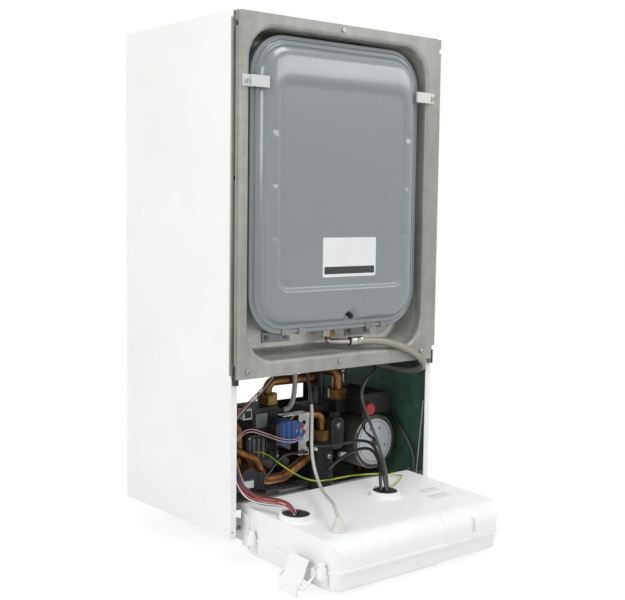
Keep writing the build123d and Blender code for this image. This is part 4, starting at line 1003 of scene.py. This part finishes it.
        for i, name in enumerate(("upper", "lower")):
            route = beside(self.coil, self.coil_step, i)
            made.append(Cord("coil_wire_" + name, "loom_wires", route, 1.6, 192, pink, limp, hanging))
        last = len(self.sensor) - 1
        for i, colour in enumerate(self.sensor_colours):
            finish, length, gap = Sheath(f"sensor_sheath_{i}", colour), 196 - 4.5 * i, self.sensor_gap * i
            route = tuple((x - gap * (k > 0), d, z + gap * (k < last)) for k, (x, d, z) in enumerate(self.sensor))
            made.append(Cord(f"sensor_wire_{i}", "loom_wires", route, 2.0, length, finish, limp, hanging))
        return made

    def plug_block(self) -> None:
        """The white plug on the left wall that the coil's and the sensors' wires leave."""
        shape = Shape()
        shape.block(at(-194.4, 68, 110), (8.2, 16, 40), 1.2)
        shape.row((-194.4, 59.6, 98), (0, 0, 24), 2, (5.0, 1.4, 8), 0.4)
        shape.row((-190.2, 68, 95), (0, 0, 7.5), 5, (0.6, 9, 3), 0.2, 1)
        shape.piece("wall_plug", (NYLON, BLACK), "loom_wires")

    def cable_connector(self) -> None:
        """The black connector that the left cable leaves, with its locking tongue."""
        shape = Shape()
        shape.block(at(19.15, 86, 91), (9.7, 8, 8), 0.8)
        shape.block(at(18.5, 81.7, 91), (6.0, 1.2, 3), 0.4)
        shape.solid(at(23.6, 86, 91), [(3.6, 0), (3.4, 2.4), (2.9, 5)], 0, 20, Axis.X)
        shape.block(at(24, 80.4, 87), (8, 1.4, 5), 0.4, 1, Matrix.Rotation(0.4, 4, "Y"))
        shape.piece("cable_connector", (BLACK, NYLON), "black_cables")

    def hose_collars(self) -> None:
        """Crimped steel collars at both ends of the braided hose."""
        shape = Shape()
        for place, axis in (((34.4, -1, 271), Axis.X), ((138, 150, 186.2), Axis.Z)):
            shape.turned(at(*place), self.crimp, 0, 28, axis)
        shape.piece("hose_collars", (PLATED,), "braided_hose")

    def build(self) -> None:
        """Lay every cord and add the plugs."""
        for cord in self.cords():
            cord.build()
        self.plug_block()
        self.cable_connector()
        self.hose_collars()


# ---------------------------------------------------------------- casing and chamber


@dataclass
class Casing(SubAssembly):
    """The white side panels, the frame at the back and the ribbed tray."""

    lining: ClassVar[Finish] = SprayedPaint(
        "green_lining", "38634F", 0.62, 0.12, tone="22392F", amount=0.8, patch=26.0, grain=180.0
    )
    # edge paints the left panel's front flange and inner face grey from 232 mm up: painted shade for the dark gap
    # between the panel and the cover.
    edge: ClassVar[Finish] = SprayedPaint("panel_gap_painted_shade", "77777A", 0.5, 0.05, tone="66666A")
    left_panel: ClassVar[Finish] = Zoned(
        "left_panel", relief=0.05, coat=0.25, base=ENAMEL, over=edge, boxes=(((-199.9, -2, 232), (-100, 400, 800)),)
    )
    right_panel: ClassVar[Finish] = Zoned(
        "right_panel", relief=0.06, base=ENAMEL, over=lining, boxes=(((100, 1.5, -20), (199.4, 400, 800)),)
    )
    fixings: ClassVar[Finish] = Zoned(
        "cover_fixings_finish", relief=0.08, base=PLATED, over=BLACK,
        boxes=(((-230, -20, 222), (-192.5, 60, 520)), ((192.5, -20, 222), (230, 60, 520))),
    )
    looks: Looks = (
        (left_panel, "side_panel_left"), (right_panel, "side_panel_right"), (ZINC_DARK, "rear_frame"),
        (TRAY, "base_tray"), (fixings, "cover_fixings"), (BRACKET, "hinge_brackets"),
    )

    def build(self) -> None:
        """Raised ribs on the tray in near-white zinc that is painted light, and the folded edges beside the cover."""
        ribs, folds = Shape(), Shape()
        # The ribs' zinc is far lighter than the tray's own: painted light, so that they show in the tray's shade.
        ribs.row((24, 130, 12.9), (0, 14, 0), 3, (78, 8, 2.4), 1.1)
        ribs.piece("tray_ribs", (Finish("rib_zinc_painted_light", "DADAD8", 0.4),))
        for side in (-1, 1):
            folds.block(at(side * 194.6, -0.5, 487), (12.4, 1.2, 502), 0.5)
            folds.block(at(side * 201.2, 1.2, 487), (1.8, 4.0, 498), 0.6)
        folds.piece("cover_folds", (FOLD,))


@dataclass
class Chamber(SubAssembly):
    """The combustion chamber behind its galvanised cover, with all that it encloses."""

    # The recessed pocket behind the vessel is the cover's own zinc, painted much lighter: painted light for the
    # recess.
    pocket: ClassVar[Finish] = ZincSheet("pocket_zinc_painted_light", "CDCCC6", 0.38, 0.05, dark="ABA9A2", light="DEDDD8")
    cover: ClassVar[Finish] = Zoned(
        "chamber_cover_finish", relief=0.06, base=ZINC, over=pocket, boxes=(((-188, 1.6, 236), (188, 80, 740)),)
    )
    looks: Looks = (
        (ZINC, "chamber_box"), (cover, "chamber_cover"), (RUBBER, "chamber_seals"), (PLATED, "burner fan_rotor"),
        (BRACKET, "combustion_case flue_hood"), (FINS, "heat_exchanger"), (ALUMINIUM, "fan_housing flue_spigot"),
    )


@dataclass
class ExpansionVessel(SubAssembly):
    """The flat steel vessel in the cover's pocket: its shells, clips, brackets, elbow and label.

    pressing, crown and sunk are the front half's section from its rim inwards: inset and depth.
    """

    clips: ClassVar[Finish] = Zoned(
        "vessel_clips_finish", relief=0.06, base=NYLON, over=PLATED,
        boxes=(((-193.4, -40, 640), (-184.6, -16.4, 660)), ((169.6, -40, 640), (178.4, -16.4, 660))),
    )
    elbow: ClassVar[Finish] = Zoned(
        "vessel_elbow_finish", base=PLATED, over=BRASS, boxes=(((-10, -40, 274), (24, 60, 320)),)
    )
    looks: Looks = (
        (VESSEL, "vessel_front_shell vessel_back_shell"), (RUBBER, "vessel_diaphragm"), (BRACKET, "vessel_brackets"),
        (clips, "vessel_clips"), (BLACK, "vessel_valve_cap"), (elbow, "vessel_elbow"),
    )
    centre: Pair = (-7.0, 506.0)
    size: Pair = (329.0, 429.0)
    corner: float = 60.0
    corner_steps: int = 14
    edge_pitch: float = 4.2
    back: float = 2.3
    field_drop: float = 24.0
    pressing: tuple[Pair, ...] = (
        (0.0, 0.2), (0.5, -0.6), (1.4, -1.0), (5.4, -1.1), (6.4, -1.7), (7.2, -3.2), (8.2, -4.3), (9.6, -4.7),
        (12.0, -4.8), (13.2, -5.2), (14.2, -6.6), (15.4, -8.4), (17.0, -10.2), (19.0, -12.0), (21.4, -13.6),
        (24.0, -14.9),
    )
    crown: tuple[Pair, ...] = (
        (26.0, -15.7), (28.0, -16.3), (30.0, -16.8), (32.0, -17.1), (34.0, -17.4), (36.0, -17.5),
    )
    sunk: tuple[Pair, ...] = (
        (37.6, -17.4), (39.2, -17.0), (40.8, -16.2), (42.4, -15.0), (44.0, -14.3), (46.0, -14.0), (50.0, -14.0),
    )
    dimple_reach: float = 130.0
    dimple_pitch: float = 75.0
    dimple_depth: float = 1.9
    dimple_spread: float = 6.0
    dimples_from: float = -0.9
    hollow: Point = (12, -17, 309)
    hollow_radius: float = 13.5
    hollow_share: float = 0.9
    label_centre: Pair = (7.0, 402.5)
    label_size: Pair = (106.0, 59.0)
    face: float = -14.0

    def outline(self, mesh: bmesh.types.BMesh) -> bmesh.types.BMFace:
        """The vessel's rounded outline as one face towards the front.

        Args:
            mesh: The mesh that it is made in.

        Returns:
            The face.
        """
        (x, z), (width, height) = self.centre, self.size
        made = bmesh.ops.create_grid(mesh, x_segments=1, y_segments=1, size=0.5)
        stand = Matrix.Rotation(math.pi / 2, 4, "X") @ Matrix.Diagonal((width * MM, height * MM, 1, 1))
        bmesh.ops.transform(mesh, matrix=Matrix.Translation(at(x, self.back, z)) @ stand, verts=made["verts"])
        bmesh.ops.bevel(
            mesh, geom=mesh.verts[:], offset=self.corner * MM, offset_type="OFFSET", affect="VERTICES",
            segments=self.corner_steps, profile=0.5, material=-1,
        )
        for edge in [e for e in mesh.edges if e.calc_length() > self.corner * MM]:
            cuts = int(edge.calc_length() / (self.edge_pitch * MM))
            bmesh.ops.subdivide_edges(mesh, edges=[edge], cuts=cuts)
        return mesh.faces[:][0]

    def dent(self, mesh: bmesh.types.BMesh) -> None:
        """Press the six dimples and the drain's hollow into the front.

        Args:
            mesh: The front half.
        """
        x, z = self.centre
        spots = [
            at(x + side * self.dimple_reach, 0, z + 5 + i * self.dimple_pitch) for side in (-1, 1) for i in (-1, 0, 1)
        ]
        hollow, start = at(*self.hollow), at(0, self.dimples_from, 0).y
        for vert in (v for v in mesh.verts if v.co.y <= start):
            for spot in spots:
                away = math.hypot(vert.co.x - spot.x, vert.co.z - spot.z) / MM
                vert.co.y += self.dimple_depth * MM * math.exp(-((away / self.dimple_spread) ** 2))
            away = math.hypot(vert.co.x - hollow.x, vert.co.z - hollow.z) / MM
            if away < self.hollow_radius:
                deep = math.sqrt(self.hollow_radius**2 - away**2) * MM * self.hollow_share
                vert.co.y = max(vert.co.y, hollow.y + deep)

    def front_shell(self) -> None:
        """The pressed front half: its outline inset ring by ring along the pressing, then dented."""
        shape = Shape()
        mesh, face = shape.mesh, self.outline(shape.mesh)
        middle, reach = self.centre[1] * MM, (self.size[1] / 2 - self.corner) * MM
        step, depth = 0.0, self.back
        for inset, d in self.pressing + self.crown + self.sunk:
            wide = max(inset - step, 0.02) * MM
            bmesh.ops.inset_region(
                mesh, faces=[face], thickness=wide, depth=0.0, use_even_offset=True, use_boundary=True
            )
            bmesh.ops.translate(mesh, verts=face.verts[:], vec=(0, (d - depth) * MM, 0))
            if (inset, d) in self.crown:
                for vert in face.verts:
                    share = (vert.co.z - middle) / reach
                    vert.co.z -= self.field_drop / len(self.crown) * MM * max(-1.0, min(1.0, share))
            step, depth = inset, d
        bmesh.ops.holes_fill(mesh, edges=[e for e in mesh.edges if e.is_boundary], sides=0)
        self.dent(mesh)
        shape.piece("vessel_pressing", (VESSEL,), "vessel_front_shell", crease=50.0)

    def build(self) -> None:
        """The front pressing and the blank label with its dark band."""
        self.front_shell()
        (x, z), (width, height) = self.label_centre, self.label_size
        shape = Shape()
        shape.block(at(x, self.face - 0.2, z), (width, 0.4, height), 2.5, upright=True)
        shape.block(at(x, self.face - 0.45, z - height / 2 + 10.0), (width - 6, 0.1, 11.0), 0.8, 1, upright=True)
        shape.piece("vessel_label", (LABEL, BAND))


# ---------------------------------------------------------------- water and gas


@dataclass
class WaterGroup(SubAssembly):
    """Pump, manifold, diverter, plate heat exchanger and the copper between them."""

    motor: ClassVar[Finish] = Zoned(
        "pump_motor_finish", base=MOTOR, over=DISC, boxes=(((97.8, 62.7, 48.8), (176.2, 63.6, 127.2)),)
    )
    looks: Looks = (
        (motor, "pump_motor"), (MATT_BLACK, "pump_volute pump_manifold"), (RED, "relief_knob"),
        (PLATED, "pump_rotor plate_heat_exchanger"), (BLACK, "air_vent diverter_actuator"),
        (BRASS, "diverter_body brass_nuts"), (COPPER, "water_pipes pipe_tails"),
    )
    pump_centre: Pair = (137.0, 88.0)
    actuator_centre: Pair = (-125.0, 61.0)
    stud_angles: tuple[float, ...] = (64, 116, 200, 340)
    stud_circle: float = 24.0
    cap_centre: Point = (51, 100, 95)
    cap_ribs: int = 12
    cap_radius: float = 19.9

    def pump_face(self) -> None:
        """The bleed screw with its slot as a black bar of painted shade, the rings round it and four studs on the
        disc.
        """
        x, z = self.pump_centre
        shape = Shape()
        shape.turned(at(x, 63.3, z), [(7.4, -0.3), (8.6, -0.3), (8.6, 0.4), (7.4, 0.4)], 1, 40)
        shape.turned(at(x, 60.2, z), [(0, -2.2), (3.6, -2.0), (4.6, -1.2), (4.6, 0.2), (0, 0.2)], 0, 24)
        # The screw's slot is a thin black bar: painted shade for the slot.
        shape.block(at(x, 58.0, z), (7.4, 0.5, 1.0), 0, 2)
        for inner, outer, front, back in ((38.4, 40.6, -0.6, 0.2), (33.6, 34.3, -0.1, 0.4)):
            ring = [(inner, front), (outer, front), (outer, back), (inner, back)]
            shape.turned(at(x, 63.2, z), ring, 1, 56)
        for angle in map(math.radians, self.stud_angles):
            side, rise = self.stud_circle * math.cos(angle), self.stud_circle * math.sin(angle)
            shape.solid(at(x + side, 63.1, z + rise), [(1.8, -0.2), (1.8, 0.3)], 1, 16)
        shape.piece("pump_face", (BRASS, MOTOR, MATT_BLACK))

    def actuator_label(self) -> None:
        """The blank label on the diverter's actuator, with its blue edge, and the cap's rim."""
        x, z = self.actuator_centre
        rim = [(18.6, -0.7), (19.6, -0.3), (19.6, 0.6), (17.6, 0.6), (17.6, -0.3)]
        shape = Shape()
        shape.block(at(x - 1, 57.85, z - 3), (19, 0.25, 13), 0.8, upright=True)
        shape.block(at(x - 1, 57.8, z + 2.6), (19, 0.3, 2.0), 0.4, 1, upright=True)
        shape.turned(at(x, 58.1, z), rim, 2, 48)
        shape.piece("actuator_label", (LABEL, BLUE, BLACK))

    def manifold_detail(self) -> None:
        """Ribs, a boss, a filter's cap, a housing, screws and a white connector on the black mouldings."""
        x, d, z = self.cap_centre
        shape = Shape()
        shape.row((150, 61.6, 142), (0, 0, 8), 4, (22, 1.2, 2.2), 0.4)
        shape.solid(at(51, 79.6, 72), [(8, -1.6), (9.4, -0.6), (9.4, 0.6)], 0, 28)
        shape.screw(at(51, 78.2, 72), 4.2, 1, 0)
        shape.solid(at(x, d, z), [(17, 1.6), (18.5, 0.8), (18.5, -0.4)], 0, 36, Axis.Z)
        for k in range(self.cap_ribs):
            turn = Matrix.Rotation(math.tau * k / self.cap_ribs, 4, "Z")
            shape.block(at(x, d, z - 11) + turn @ Vector((self.cap_radius * MM, 0, 0)), (1.6, 1.6, 18), 0.4, 0, turn)
        shape.solid(at(64, 134, 170), [(4.5, 13), (5.2, 12), (5.2, 6), (9, 5), (9, 0)], 0, 24, Axis.Z)
        shape.block(at(70, 92, 107), (27, 24, 52), 9.0, 2, upright=True)
        shape.solid(at(70, 80.2, 121), [(7.6, -2.4), (8.6, -1.4), (8.6, 0.4)], 2, 28)
        shape.screw(at(70, 77.9, 121), 4.6, 1, 0)
        shape.block(at(79, 90, 71), (9, 16, 9), 1.0, 2)
        shape.block(at(81, 80, 71), (13, 8, 7), 1.2, 3)
        shape.block(at(73.6, 80, 72.5), (4, 4, 3), 0.8, 4)
        shape.piece("manifold_detail", (MATT_BLACK, PLATED, CASTING, NYLON, BLUE))

    def build(self) -> None:
        """Add the details."""
        self.pump_face()
        self.actuator_label()
        self.manifold_detail()


@dataclass
class GasTrain(SubAssembly):
    """The gas valve, its blue coil and the plate that holds them."""

    valve_plate: ClassVar[Finish] = BareMetal("valve_plate", "77797B", 0.42, 0.12, tone="555759", metal=0.4)
    pale_blue: ClassVar[Finish] = Moulding("pale_blue_moulding", "5B8CD0", 0.4, 0.1, tone="3F6BAF", amount=0.5)
    coil: ClassVar[Finish] = Zoned(
        "gas_valve_coil_finish", base=BLUE, over=CASTING, boxes=(((-90, 50, 90), (-57.5, 140, 160)),)
    )
    looks: Looks = (
        (COPPER, "gas_pipe"), (CASTING, "gas_valve_body"), (coil, "gas_valve_coil"), (PLATED, "coil_bracket"),
    )
    lower_face: float = 93.0
    coil_face: float = 69.0
    coil_axis: Pair = (82.0, 125.0)

    def valve_face(self) -> None:
        """Raised frames, ribs, a blank plate, cover screws and a white connector on the casting."""
        d = self.lower_face
        shape = Shape()
        shape.block(at(-84, d - 0.5, 101), (32, 1.0, 30), 2.0, 1, upright=True)
        shape.row((-62, d - 0.9, 101), (4.6, 0, 0), 4, (2.2, 1.8, 36))
        for x, z in ((-101, 84), (-101, 118), (-46, 84), (-46, 118)):
            shape.solid(at(x, d, z), [(3.6, -2.2), (4.2, -1.6), (4.2, 0.3)], 0, 20)
            shape.screw(at(x, d - 2.1, z), 2.6, 2, 3)
        shape.block(at(-77, d - 0.4, 144), (22, 0.9, 22), 1.5, 1, upright=True)
        shape.row((-58, d - 0.8, 144), (5.0, 0, 0), 3, (2.4, 1.6, 30))
        shape.block(at(-105, d + 5, 157), (17, 16, 17), 1.4, 4)
        shape.block(at(-105, d - 3.4, 157), (12, 1.2, 11), 0.4, 3)
        shape.piece("gas_valve_face", (CASTING, self.valve_plate, PLATED, MATT_BLACK, NYLON))

    def coil_detail(self) -> None:
        """The coil's moulded bands, flanges, winding and terminal, and the adjusting screws beside it."""
        d, axis = self.coil_face, self.coil_axis
        shape = Shape()
        shape.row((-53, d - 0.7, 124), (10, 0, 0), 3, (4.5, 1.6, 33))
        shape.row((-53, 81, 142.4), (10, 0, 0), 3, (4.5, 22, 1.4), 0.5)
        for x in (-25.5, -16.5):
            shape.solid(at(x, *axis), [(13, 0), (13.4, 0.8), (13, 1.6)], 4, 36, Axis.X)
        shape.solid(at(-24, *axis), [(10.6, 0), (10.6, 7.6)], 5, 36, Axis.X)
        shape.block(at(-17, 74, 112), (12, 10, 6), 1.2, 1)
        shape.solid(at(-6, 84, 120), [(4.6, -9), (5.2, -8), (5.2, -3), (7.4, -2.4), (7.4, 1.4)], 2, 6)
        shape.turned(at(-6, 75, 120), [(0, -1.6), (2.8, -1.4), (3.2, -0.6), (3.2, 0.3), (0, 0.3)], 3, 20)
        shape.solid(at(-14, 72, 131), [(3.4, -3), (4, -2.2), (4, 4)], 3, 20)
        shape.solid(at(-9, 72, 128), [(2.4, -4), (2.8, -3), (2.8, 4)], 4, 16)
        shape.piece("coil_detail", (BLUE, self.pale_blue, BRASS, RED, NYLON, COPPER))

    def build(self) -> None:
        """Add the details."""
        self.valve_face()
        self.coil_detail()


# ---------------------------------------------------------------- control box


@dataclass
class ControlBox(SubAssembly):
    """The white control box that hangs open in front, with its cable entries and latch."""

    inlay: ClassVar[Finish] = Moulding("lid_inlay", "CDD1D6", 0.5, 0.05, tone="BFC4C9", amount=0.5)
    entries: ClassVar[Finish] = Zoned(
        "cable_entries_finish", relief=0.12, base=RUBBER, over=CONE, boxes=(((-146, -170, 30), (-108, -132, 80)),)
    )
    gauge: ClassVar[Finish] = replace(BLACK, name="pressure_gauge_finish", relief=0.06)
    looks: Looks = (
        (WHITE_MOULDING, "box_rear_shell terminal_cover box_fascia latch_bail latch_lever reset_button"),
        (WHITE_MOULDING, "control_knob_heating control_knob_water"), (entries, "cable_entries"),
        (BOARD, "circuit_board"), (gauge, "pressure_gauge"), (PANE, "display_window"), (RED, "gauge_needle"),
    )
    lid_top: float = 44.0
    grilles: tuple[Point, ...] = ((118, -84, 36), (111, -111, 40))
    slat_pitch: float = 4.4

    def build(self) -> None:
        """Two raised, ribbed panels on the lid, left blank; each is its centre and its width."""
        shape = Shape()
        for x, d, width in self.grilles:
            shape.block(on_box(x, d, self.lid_top + 0.05), (width, 16, 0.5), 0.2, 0, TILTED)
            for k in range(int(width // self.slat_pitch)):
                place = x - width / 2 + 3.2 + self.slat_pitch * k
                shape.block(on_box(place, d, self.lid_top + 0.4), (1.8, 13, 0.6), 0.25, 1, TILTED)
        shape.piece("lid_grilles", (self.inlay, WHITE_MOULDING), body=Body.BOX)


# ---------------------------------------------------------------- studio


@dataclass
class Studio:
    """The plain floor, the pale surroundings, the lamps and the camera."""

    camera_place: Point = (-1.0628, -1.5200, 0.4823)
    yaw: float = 39.47
    pitch: float = -5.16
    roll: float = 0.757
    lens: float = 61.62
    film_width: float = 36.0
    surround: float = 0.72
    floor_reach: float = 9.0
    floor_gap: float = 0.5 * MM
    floor_tone: float = 0.86
    floor_glow: float = 1.19
    glow_share: float = 0.72
    middle: Point = (0.0, -0.2, 0.35)
    window_aim: Point = (0.0, -0.3, 0.66)

    def camera(self) -> None:
        """Set the camera where the photograph was taken from."""
        made = placed("camera", bpy.data.cameras.new("camera"))
        made.data.lens, made.data.sensor_width = self.lens, self.film_width
        made.matrix_world = Matrix.Translation(self.camera_place)
        for angle, axis in ((-self.yaw, "Z"), (90.0 + self.pitch, "X"), (self.roll, "Z")):
            made.matrix_world @= Matrix.Rotation(math.radians(angle), 4, axis)
        bpy.context.scene.camera = made

    def surroundings(self) -> None:
        """White where it is seen or mirrored, and a plain grey-white light otherwise."""
        world = bpy.data.worlds.new("surroundings")
        graph = Graph.of(world)
        light = graph.add("Background", {"Strength": self.surround}).outputs[0]
        plain = graph.add("Background", {"Color": (1, 1, 1, 1), "Strength": 1.0}).outputs[0]
        mixed = graph.add("MixShader", {0: graph.seen(), 1: light, 2: plain}).outputs[0]
        graph.add("OutputWorld", {0: mixed})
        bpy.context.scene.world = world

    def floor(self) -> None:
        """A wide pale floor under the boiler that keeps its shadow."""
        mesh = bmesh.new()
        low = Matrix.Translation((0, 0, min(corner[2] for corner in cad_box) - self.floor_gap))
        bmesh.ops.create_grid(mesh, x_segments=2, y_segments=2, size=self.floor_reach, matrix=low)
        data = bpy.data.meshes.new("floor")
        mesh.to_mesh(data)
        mesh.free()
        made = bpy.data.materials.new("pale_floor")
        graph = Graph.of(made)
        matt = graph.add("BsdfDiffuse", {"Color": (*[self.floor_tone] * 3, 1)}).outputs[0]
        glow = graph.add("Emission", {"Strength": self.floor_glow}).outputs[0]
        share = graph.math("MULTIPLY", graph.seen(), self.glow_share)
        graph.add("OutputMaterial", {0: graph.add("MixShader", {0: share, 1: matt, 2: glow}).outputs[0]})
        data.materials.append(made)
        placed("floor", data)

    def lamp(self, name: str, place: Point, target: Point, size: float, power: float, tall: float = 1.0) -> None:
        """Add a soft lamp.

        Args:
            name: Its name.
            place: Where it hangs, in metres.
            target: What it points at.
            size: Its side in metres.
            power: Its power in watts.
            tall: Its height as a share of its width.
        """
        light = bpy.data.lights.new(name, "AREA")
        light.shape = "RECTANGLE"
        light.size, light.size_y = size, size * tall
        light.energy = power
        made = placed(name, light)
        made.location = place
        made.rotation_euler = (Vector(target) - Vector(place)).to_track_quat("-Z", "Y").to_euler()

    def build(self) -> None:
        """Set up the whole studio."""
        self.camera()
        self.surroundings()
        self.floor()
        self.lamp("key", (0.6, -1.5, 2.95), self.middle, 1.6, 35.0)
        self.lamp("window", (1.56, -2.04, 1.28), self.window_aim, 1.4, 6.6, 0.32)
        self.lamp("side", (-2.7, -0.9, 1.3), self.middle, 1.5, 32.0)
        bpy.context.scene.view_settings.view_transform = "Standard"


def main() -> None:
    """Build the studio, then each sub-assembly in order."""
    Studio().build()
    for group in (Wiring(), Casing(), Chamber(), ExpansionVessel(), WaterGroup(), GasTrain(), ControlBox()):
        group.build()
        group.dress()
        log.info("%s done", type(group).__name__)


if __name__ == "__main__":
    main()
